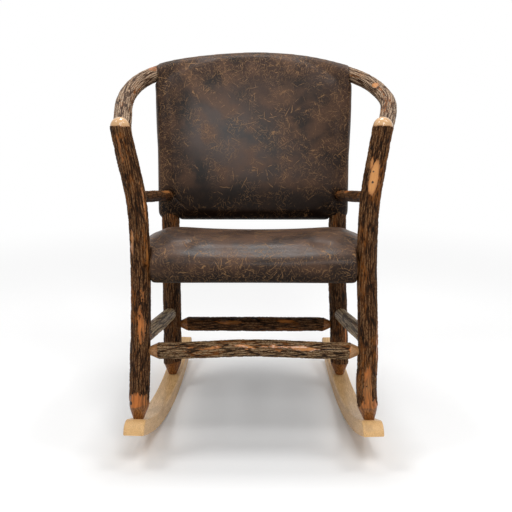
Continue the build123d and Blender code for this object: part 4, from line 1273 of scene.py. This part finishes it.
def make_seat():
    inset = 5.0
    xs = np.concatenate([np.linspace(-seat_side_x + inset, -200, 14), np.linspace(-190, 190, 21),
                         np.linspace(200, seat_side_x - inset, 14)])
    outlines = [seat_outline(x, inset) for x in xs]
    form = cut_away(stacked("seat_cushion_form", outlines), seat_notches(1.6))
    pad = even_net(form, 0.0055)
    spots = points_of(pad)
    low = at_rest([on_seat(0, 0, seat_low)])[0]
    square = turned(np.subtract(on_seat(0, 0, 1), on_seat(0, 0, 0)))
    above = (spots - low) @ np.array(square) * 1000
    plump(pad, np.clip((4.0 - above) / 3.0, 0, 1), 0.006)
    for name, (stations, foot) in posts.items():
        keep_off(pad, batten(stations, 3.0), 0.9)
    return smoothed(pad)


seat = make_seat()
dress(seat, seat_leather, "leather", "seat_cover", "seat_foam")
print("seat:", len(seat.data.polygons), "faces")

# %% [markdown]
# ## The upholstered back
# The back pad hangs between the hoop and a lower rail. Leather wraps both, and the hoop, the arm
# rails and the posts go into it through openings. Its top follows the hoop, which a plain box
# can't. So upright outlines stand side by side across the chair, each drawn round the hoop and
# the rail at its own place.

# %% The back's outlines
back_rail_height = 508.0
rail_y = sum(on_post("back_post_" + side, back_rail_height)[0][1] for side in ("left", "right")) / 2
back_left, back_right, back_side_round = -274.5, 258.0, 22.0
back_low_radius, front_swell, rear_swell = 28.0, 15.0, 6.0
over_line = hoop_line[0][hoop_line[0][:, 1] > 150]
over_line = over_line[np.argsort(over_line[:, 0])]
over_steps = np.gradient(over_line[:, :3], axis=0)
over_slant = np.linalg.norm(over_steps, axis=1) / np.abs(over_steps[:, 0])


def hoop_over(x):
    """The hoop's centre, its radius and its slant, at a place along the back."""
    values = [np.interp(x, over_line[:, 0], over_line[:, k]) for k in (1, 2, 3)]
    slant = min(1.75, np.interp(x, over_line[:, 0], over_slant))
    return np.array([x, values[0], values[1]]), values[2], slant


def arc_through(a, b, c, count):
    """Points on the circle through three points, without the last."""
    u, v = b - a, c - a
    w = np.cross(u, v)
    if np.linalg.norm(w) < 1e-6:
        return np.linspace(a, c, count, endpoint=False)
    middle = a + np.cross((u @ u) * v - (v @ v) * u, w) / (2 * (w @ w))
    radius = np.linalg.norm(a - middle)
    e1 = (a - middle) / radius
    e2 = np.cross(w / np.linalg.norm(w), e1)
    full = math.atan2((c - middle) @ e2, (c - middle) @ e1) % (2 * math.pi)
    turns = np.linspace(0, full, count, endpoint=False)[:, None]
    return middle + radius * (np.cos(turns) * e1 + np.sin(turns) * e2)


def back_frame(x):
    """The lower rail's centre under the hoop, and the ways up to the hoop and out to the front."""
    over, hoop_radius, slant = hoop_over(x)
    under = np.array([x, rail_y, back_rail_height])
    up = unit(over - under)
    return over, hoop_radius, slant, under, up, np.cross(up, (1, 0, 0)) * -1


def back_outline(x, inset):
    """The pad's outline at a place across the back: four arcs, flatter before and behind."""
    over, hoop_radius, slant, under, up, front = back_frame(x)
    edge = min(x - back_left, back_right - x) - inset
    roll = math.sqrt(1 - max(0.0, 1 - edge / back_side_round) ** 2)
    hem = 1 - 0.07 * max(0.0, 1 - edge / 7.0) ** 2
    low, high = (back_low_radius - inset) * roll, (hoop_radius + 7.0 - inset) * hem
    middle, swell = (over + under) / 2, (low + high) / 2
    deep = high * slant
    p = [under + front * low, middle + front * (swell + front_swell * roll), over + front * deep,
         over + up * high, over - front * deep, middle - front * (swell + rear_swell * roll),
         under - front * low, under - up * low, under + front * low]
    return np.vstack([arc_through(*p[i:i + 3], count)
                      for i, count in ((0, 60), (2, 16), (4, 60), (6, 16))])


print("a back outline has", len(back_outline(0.0, 0.0)), "points")

# %% Openings, creases and the finished back
def back_openings():
    """Short tubes for the openings where the arm rails and the posts go in."""
    cutters = []
    for name in ("left", "right"):
        rail = rail_line("arm_rail", "front_post_" + name, "back_post_" + name)[0]
        cutters.append(tube("rail_hole", rail[(rail[:, 1] > 90) & (rail[:, 1] < 172)][::4], 1.6))
        post = lines["back_post_" + name][0]
        cutters.append(tube("post_hole", post[(post[:, 2] > 430) & (post[:, 2] < 500)][::4], 1.6))
    return cutters


def press_line(piece, points, width, depth):
    """Press a crease into a piece's front along a line of upright points."""
    spots, normals = points_of(piece), normals_of(piece)
    gap = np.full(len(spots), 9.0)
    for spot in resampled(at_rest(points), 60):
        gap = np.minimum(gap, np.hypot(spots[:, 0] - spot[0], spots[:, 2] - spot[2]))
    pressed = np.exp(-(gap / (width / 1000)) ** 2) * (normals[:, 1] < -0.2)
    move_points(piece, spots - normals * (pressed * depth / 1000)[:, None])


def tuck_round(piece, path, edges, reach=4.5, depth=4.0):
    """Draw the leather in a little round a pole (upright path) where it leaves an edge, in mm."""
    spots = points_of(piece)
    centres = at_rest(path[:, :3])
    for edge in edges:
        for i in np.nonzero(np.abs(spots[:, 0] * 1000 - edge) < 7)[0]:
            away = np.linalg.norm(centres - spots[i], axis=1)
            j = int(np.argmin(away))
            drawn = np.clip(1 - (away[j] * 1000 - path[j, 3]) / reach, 0, 1)
            spots[i, 0] -= math.copysign(depth / 1000 * drawn, edge)
    move_points(piece, spots)


def make_back():
    inset = 3.0
    left, right = back_left + inset, back_right - inset
    ease = back_side_round * (1 - np.cos(np.linspace(0.18, math.pi / 2, 9)))
    xs = np.concatenate([left + ease, np.linspace(-240, 226, 32), (right - ease)[::-1]])
    outlines = [back_outline(x, inset) for x in xs]
    form = cut_away(stacked("back_cushion_form", outlines), back_openings())
    pad = even_net(form, 0.005)
    plump(pad, np.zeros(len(pad.data.vertices)), 0.0065, pressure=3.0)
    keep_off(pad, hoop_line[0][::2], 0.8, 30.0)
    for side in ("left", "right"):
        post = lines["back_post_" + side][0]
        keep_off(pad, post[post[:, 2] < 492][::2], 1.0)
    pad = smoothed(pad)
    tuck_round(pad, hoop_line[0][::2], (-275.0, 259.0))
    for side in (-1, 1):
        crease = [(side * 230, 150, 556), (side * 214, 150, 540), (side * 197, 150, 524)]
        press_line(pad, crease, 2.2, 2.4)
    return pad


back = make_back()
dress(back, back_leather, "leather", "back_cover", "back_foam")
print("back:", len(back.data.polygons), "faces")

# %% [markdown]
# ## Rockers
# The rockers are sawn from pale hard maple and bent to one arc. Their solids are already right, so
# they keep their shape and only get a finish. Bent wood keeps its grain along the bend, so the
# grain runs round the hub of the sole's arc instead of straight through.

# %% Grain that follows the bend
def round_the_hub(tree):
    """The place of a point in bent wood, in mm: across, along the arc and out from the hub."""
    hub = at_rest([0, contact_y, sole_radius])[0]
    x, y, z = split(object_place(tree).vector("SUBTRACT", tuple(hub)))
    out = (y * y + z * z).math("SQRT") * 1000
    return joined(x * 1000, y.math("ARCTAN2", z * -1.0) * sole_radius, out)


print("hub of the soles at", at_rest([0, contact_y, sole_radius]).round(3))

# %% Shader group for sawn wood
def build_wood_group():
    tree, given, end = new_group("sawn wood", "ShaderNodeTree", [
        ("Place", "Vector"), ("Early", "Color", paint(232, 192, 136)),
        ("Late", "Color", paint(186, 134, 76)), ("Stain", "Color", paint(160, 122, 80)),
        ("Figure", "Float", 0.85)],
        [("Colour", "Color"), ("Roughness", "Float"), ("Height", "Float")])
    place = given["Place"]
    bent = swayed(place, 0.008, 14.0)
    rings = clouds(stretched(bent, 0.5, 0.012, 0.9), 0.22, 3.0, 0.5)
    lines = (rings * 26.0).math("PINGPONG", 1.0)
    fibre = clouds(stretched(place, 1.0, 0.03, 1.0), 1.1, 4.0, 0.65)
    cloud = clouds(stretched(place, 1.0, 0.25, 1.0), 0.035, 3.0)
    dark = (lines * 0.5 + fibre * 0.5).between(0.2, 0.9) * given["Figure"]
    colour = tint(dark, given["Early"], given["Late"])
    colour = tint(cloud.between(0.48, 0.72) * 0.4, colour, given["Stain"])
    flecks = clouds(stretched(place, 1.0, 0.3, 1.0), 0.42, 2.0).between(0.7, 0.74)
    colour = tint(flecks * 0.8, colour, given["Stain"].vector("MULTIPLY", (0.25, 0.2, 0.15)))
    rough = fibre * 0.14 + cloud * 0.08 + 0.33
    hand_out(tree, end, {"Colour": colour, "Roughness": rough, "Height": lines * 0.3 + fibre * 0.7})
    return tree


sawn_wood = build_wood_group()
print("sawn wood group:", len(sawn_wood.nodes), "nodes")

# %% Dress the rockers
def wood_finish(name, place_of, shades=None, coat=0.15):
    """Sawn wood whose grain follows a place worked out in the material."""
    material, tree, shader = new_material(name)
    inputs = {"Place": place_of(tree), **(shades or {})}
    group = put(tree, "ShaderNodeGroup", inputs, node_tree=sawn_wood)
    dress_shader(tree, shader, group, 0.35, 0.0004, {
        "Specular IOR Level": 0.3, "Coat Weight": coat, "Coat Roughness": 0.2})
    return material


def finish_node(name, material):
    """Give one of the solids its material."""
    piece = bpy.data.objects[name]
    piece.data.materials.clear()
    piece.data.materials.append(material)


maple = wood_finish("pale maple of the rockers", round_the_hub)
for name in ("rocker_left", "rocker_right"):
    finish_node(name, maple)
print("rockers dressed in", maple.name)

# %% [markdown]
# ## What lies under the leather
# The seat frame's poles, the webbing, the dust cloth and the small metal show only from behind
# and below, but every real surface has its own finish. Webbing is woven jute, so two sets of
# threads cross; the dust cloth is a finer, darker weave of the same kind.

# %% Peeled poles of the seat frame
def straight_grain(tree):
    """Object coordinates in millimetres, with the grain across the chair."""
    x, y, z = split(stretched(object_place(tree), 1000, 1000, 1000))
    return joined(z, x, y)


peeled = wood_finish("peeled hickory of the seat frame", straight_grain, {
    "Early": paint(112, 80, 52), "Late": paint(84, 56, 34), "Stain": paint(62, 40, 24),
    "Figure": 0.7}, 0.0)


print("frame poles dressed in", peeled.name)

# %% Woven stuff and steel
def build_weave_group():
    tree, given, end = new_group("plain weave", "ShaderNodeTree", [
        ("Place", "Vector"), ("Thread", "Float", 2.4), ("Yarn", "Color", paint(168, 140, 98)),
        ("Gap", "Color", paint(82, 62, 40))], [("Colour", "Color"), ("Height", "Float")])
    x, y, z = split(swayed(given["Place"], 0.15, 0.5))
    across, along = x / given["Thread"], y / given["Thread"]
    warp = (across * math.pi).math("SINE").math("ABSOLUTE")
    weft = (along * math.pi).math("SINE").math("ABSOLUTE")
    over = ((across.math("FLOOR") + along.math("FLOOR")) * 0.5).math("FRACT") * 2.0
    height = warp * over + weft * over.flipped()
    fuzz = clouds(given["Place"], 0.8, 3.0)
    colour = tint((height * 0.75 + fuzz * 0.35).between(0.2, 0.9), given["Gap"], given["Yarn"])
    hand_out(tree, end, {"Colour": colour, "Height": height + fuzz * 0.2})
    return tree


plain_weave = build_weave_group()


def cloth_finish(name, yarn, gap, thread):
    material, tree, shader = new_material(name)
    group = put(tree, "ShaderNodeGroup", {
        "Place": stretched(object_place(tree), 1000, 1000, 1000), "Yarn": yarn, "Gap": gap,
        "Thread": thread}, node_tree=plain_weave)
    dress_shader(tree, shader, group, 0.6, 0.0005, {"Roughness": 0.88, "Sheen Weight": 0.2})
    return material


def steel_finish(name, base, dark):
    material, tree, shader = new_material(name)
    place = stretched(object_place(tree), 1000, 1000, 1000)
    stain = clouds(place, 0.6, 4.0)
    tree.links.new(tint(stain.between(0.4, 0.65), base, dark).socket, shader.inputs["Base Color"])
    tree.links.new((stain * 0.3 + 0.28).socket, shader.inputs["Roughness"])
    pits = put(tree, "ShaderNodeBump", {
        "Strength": 0.3, "Distance": 0.0002, "Height": clouds(place, 3.0)})
    tree.links.new(pits.outputs["Normal"], shader.inputs["Normal"])
    shader.inputs["Metallic"].default_value = 1.0
    return material


jute = cloth_finish("jute webbing", paint(176, 146, 102), paint(84, 62, 40), 2.2)
dust_cloth = cloth_finish("black dust cloth", paint(52, 49, 46), paint(18, 17, 16), 1.1)
dark_steel = steel_finish("darkened steel", paint(120, 112, 104), paint(62, 50, 42))
print("finishes:", ", ".join(m.name for m in (jute, dust_cloth, dark_steel)))

# %% Dress the hidden pieces
finishes = {"seat_webbing": jute, "seat_dust_cover": dust_cloth, "joint_nails": dark_steel,
            "rocker_screws": dark_steel, "upholstery_tacks": dark_steel}
for name in ("seat_rail_front", "seat_rail_back", "seat_rail_left", "seat_rail_right", "back_rail"):
    finishes[name] = peeled
for name, material in finishes.items():
    finish_node(name, material)
print("dressed", len(finishes), "hidden nodes")

# %% [markdown]
# ## The outside back
# The rear of the pad is closed by its own piece of leather, sewn on over the hollow between the
# hoop, the lower rail and the posts. It is a gently stretched sheet with a turned-in edge. A row
# of dome nails would be another way; a plain blind-stitched edge with a fine cord is the simplest.

# %% Outside back panel
panel_left, panel_right, panel_height, panel_lift = -204.0, 192.0, 340.0, 4.8
hoop_wrap = 6.0


def rear_point(x, share, lift):
    """A point on the rear face of the back pad: share up from the lower rail, lift outwards."""
    over, hoop_radius, slant, under, up, front = back_frame(x)
    swell = (back_low_radius + hoop_radius + hoop_wrap) / 2
    a = under - front * back_low_radius
    b = (over + under) / 2 - front * (swell + rear_swell)
    c = over - front * (hoop_radius + hoop_wrap) * slant
    low = under + up * 18.0
    high = over - up * (hoop_radius + 4.0)
    height = low + (high - low) * share
    t = ((height - under) @ up) / ((over - under) @ up)
    curve = (1 - t) * (1 - 2 * t) * a + 4 * t * (1 - t) * b + t * (2 * t - 1) * c
    return curve - front * lift


def make_panel(columns=70, rows=60):
    """A leather panel that puffs up a little away from its edges."""
    width = panel_right - panel_left
    points = []
    for j in range(rows + 1):
        for i in range(columns + 1):
            u, v = i / columns, j / rows
            edge = min(u * width, (1 - u) * width, v * panel_height, (1 - v) * panel_height)
            puff = panel_lift + 1.8 * math.sqrt(min(1.0, edge / 40.0))
            points.append(rear_point(panel_left + width * u, v, puff))
    starts = [j * (columns + 1) + i for j in range(rows) for i in range(columns)]
    faces = [(s, s + columns + 1, s + columns + 2, s + 1) for s in starts]
    mesh = bpy.data.meshes.new("outside_back_panel")
    mesh.from_pydata(at_rest(points), [], faces)
    panel = add_object("outside_back_panel", mesh)
    shell = panel.modifiers.new("thickness", "SOLIDIFY")
    shell.thickness, shell.offset = 0.0026, -1.0
    round_edge = panel.modifiers.new("soft edge", "BEVEL")
    round_edge.width, round_edge.segments, round_edge.limit_method = 0.0011, 2, "ANGLE"
    panel = made_plain(panel, "outside_back_panel")
    panel.data.shade_smooth()
    return panel


panel = make_panel()
dress(panel, back_leather, "leather", "back_panel")
print("outside back panel:", len(panel.data.polygons), "faces")

# %% The cord round the panel
def make_welt(radius=1.7):
    """A leather cord round the panel's edge."""
    width = panel_right - panel_left
    flat, tall = np.linspace(0, 1, 60, endpoint=False), np.linspace(0, 1, 54, endpoint=False)
    ring = [(panel_left + width * t, 0.0) for t in flat] + [(panel_right, t) for t in tall]
    ring += [(panel_right - width * t, 1.0) for t in flat] + [(panel_left, 1 - t) for t in tall]
    path = at_rest([rear_point(x, v, panel_lift) for x, v in ring])
    curve = bpy.data.curves.new("back_panel_cord", "CURVE")
    curve.dimensions, curve.bevel_depth, curve.bevel_resolution = "3D", radius / 1000, 3
    spline = curve.splines.new("POLY")
    spline.points.add(len(path) - 1)
    for point, spot in zip(spline.points, path):
        point.co = (*spot, 1.0)
    spline.use_cyclic_u = True
    return made_plain(add_object("back_panel_cord", curve), "back_panel_cord")


welt = make_welt()
welt.data.shade_smooth()
dress(welt, seat_leather, "leather")
print("cord:", len(welt.data.polygons), "faces")

# %% [markdown]
# ## The two sizes
# Bark and padding may stand a little proud of the solids.
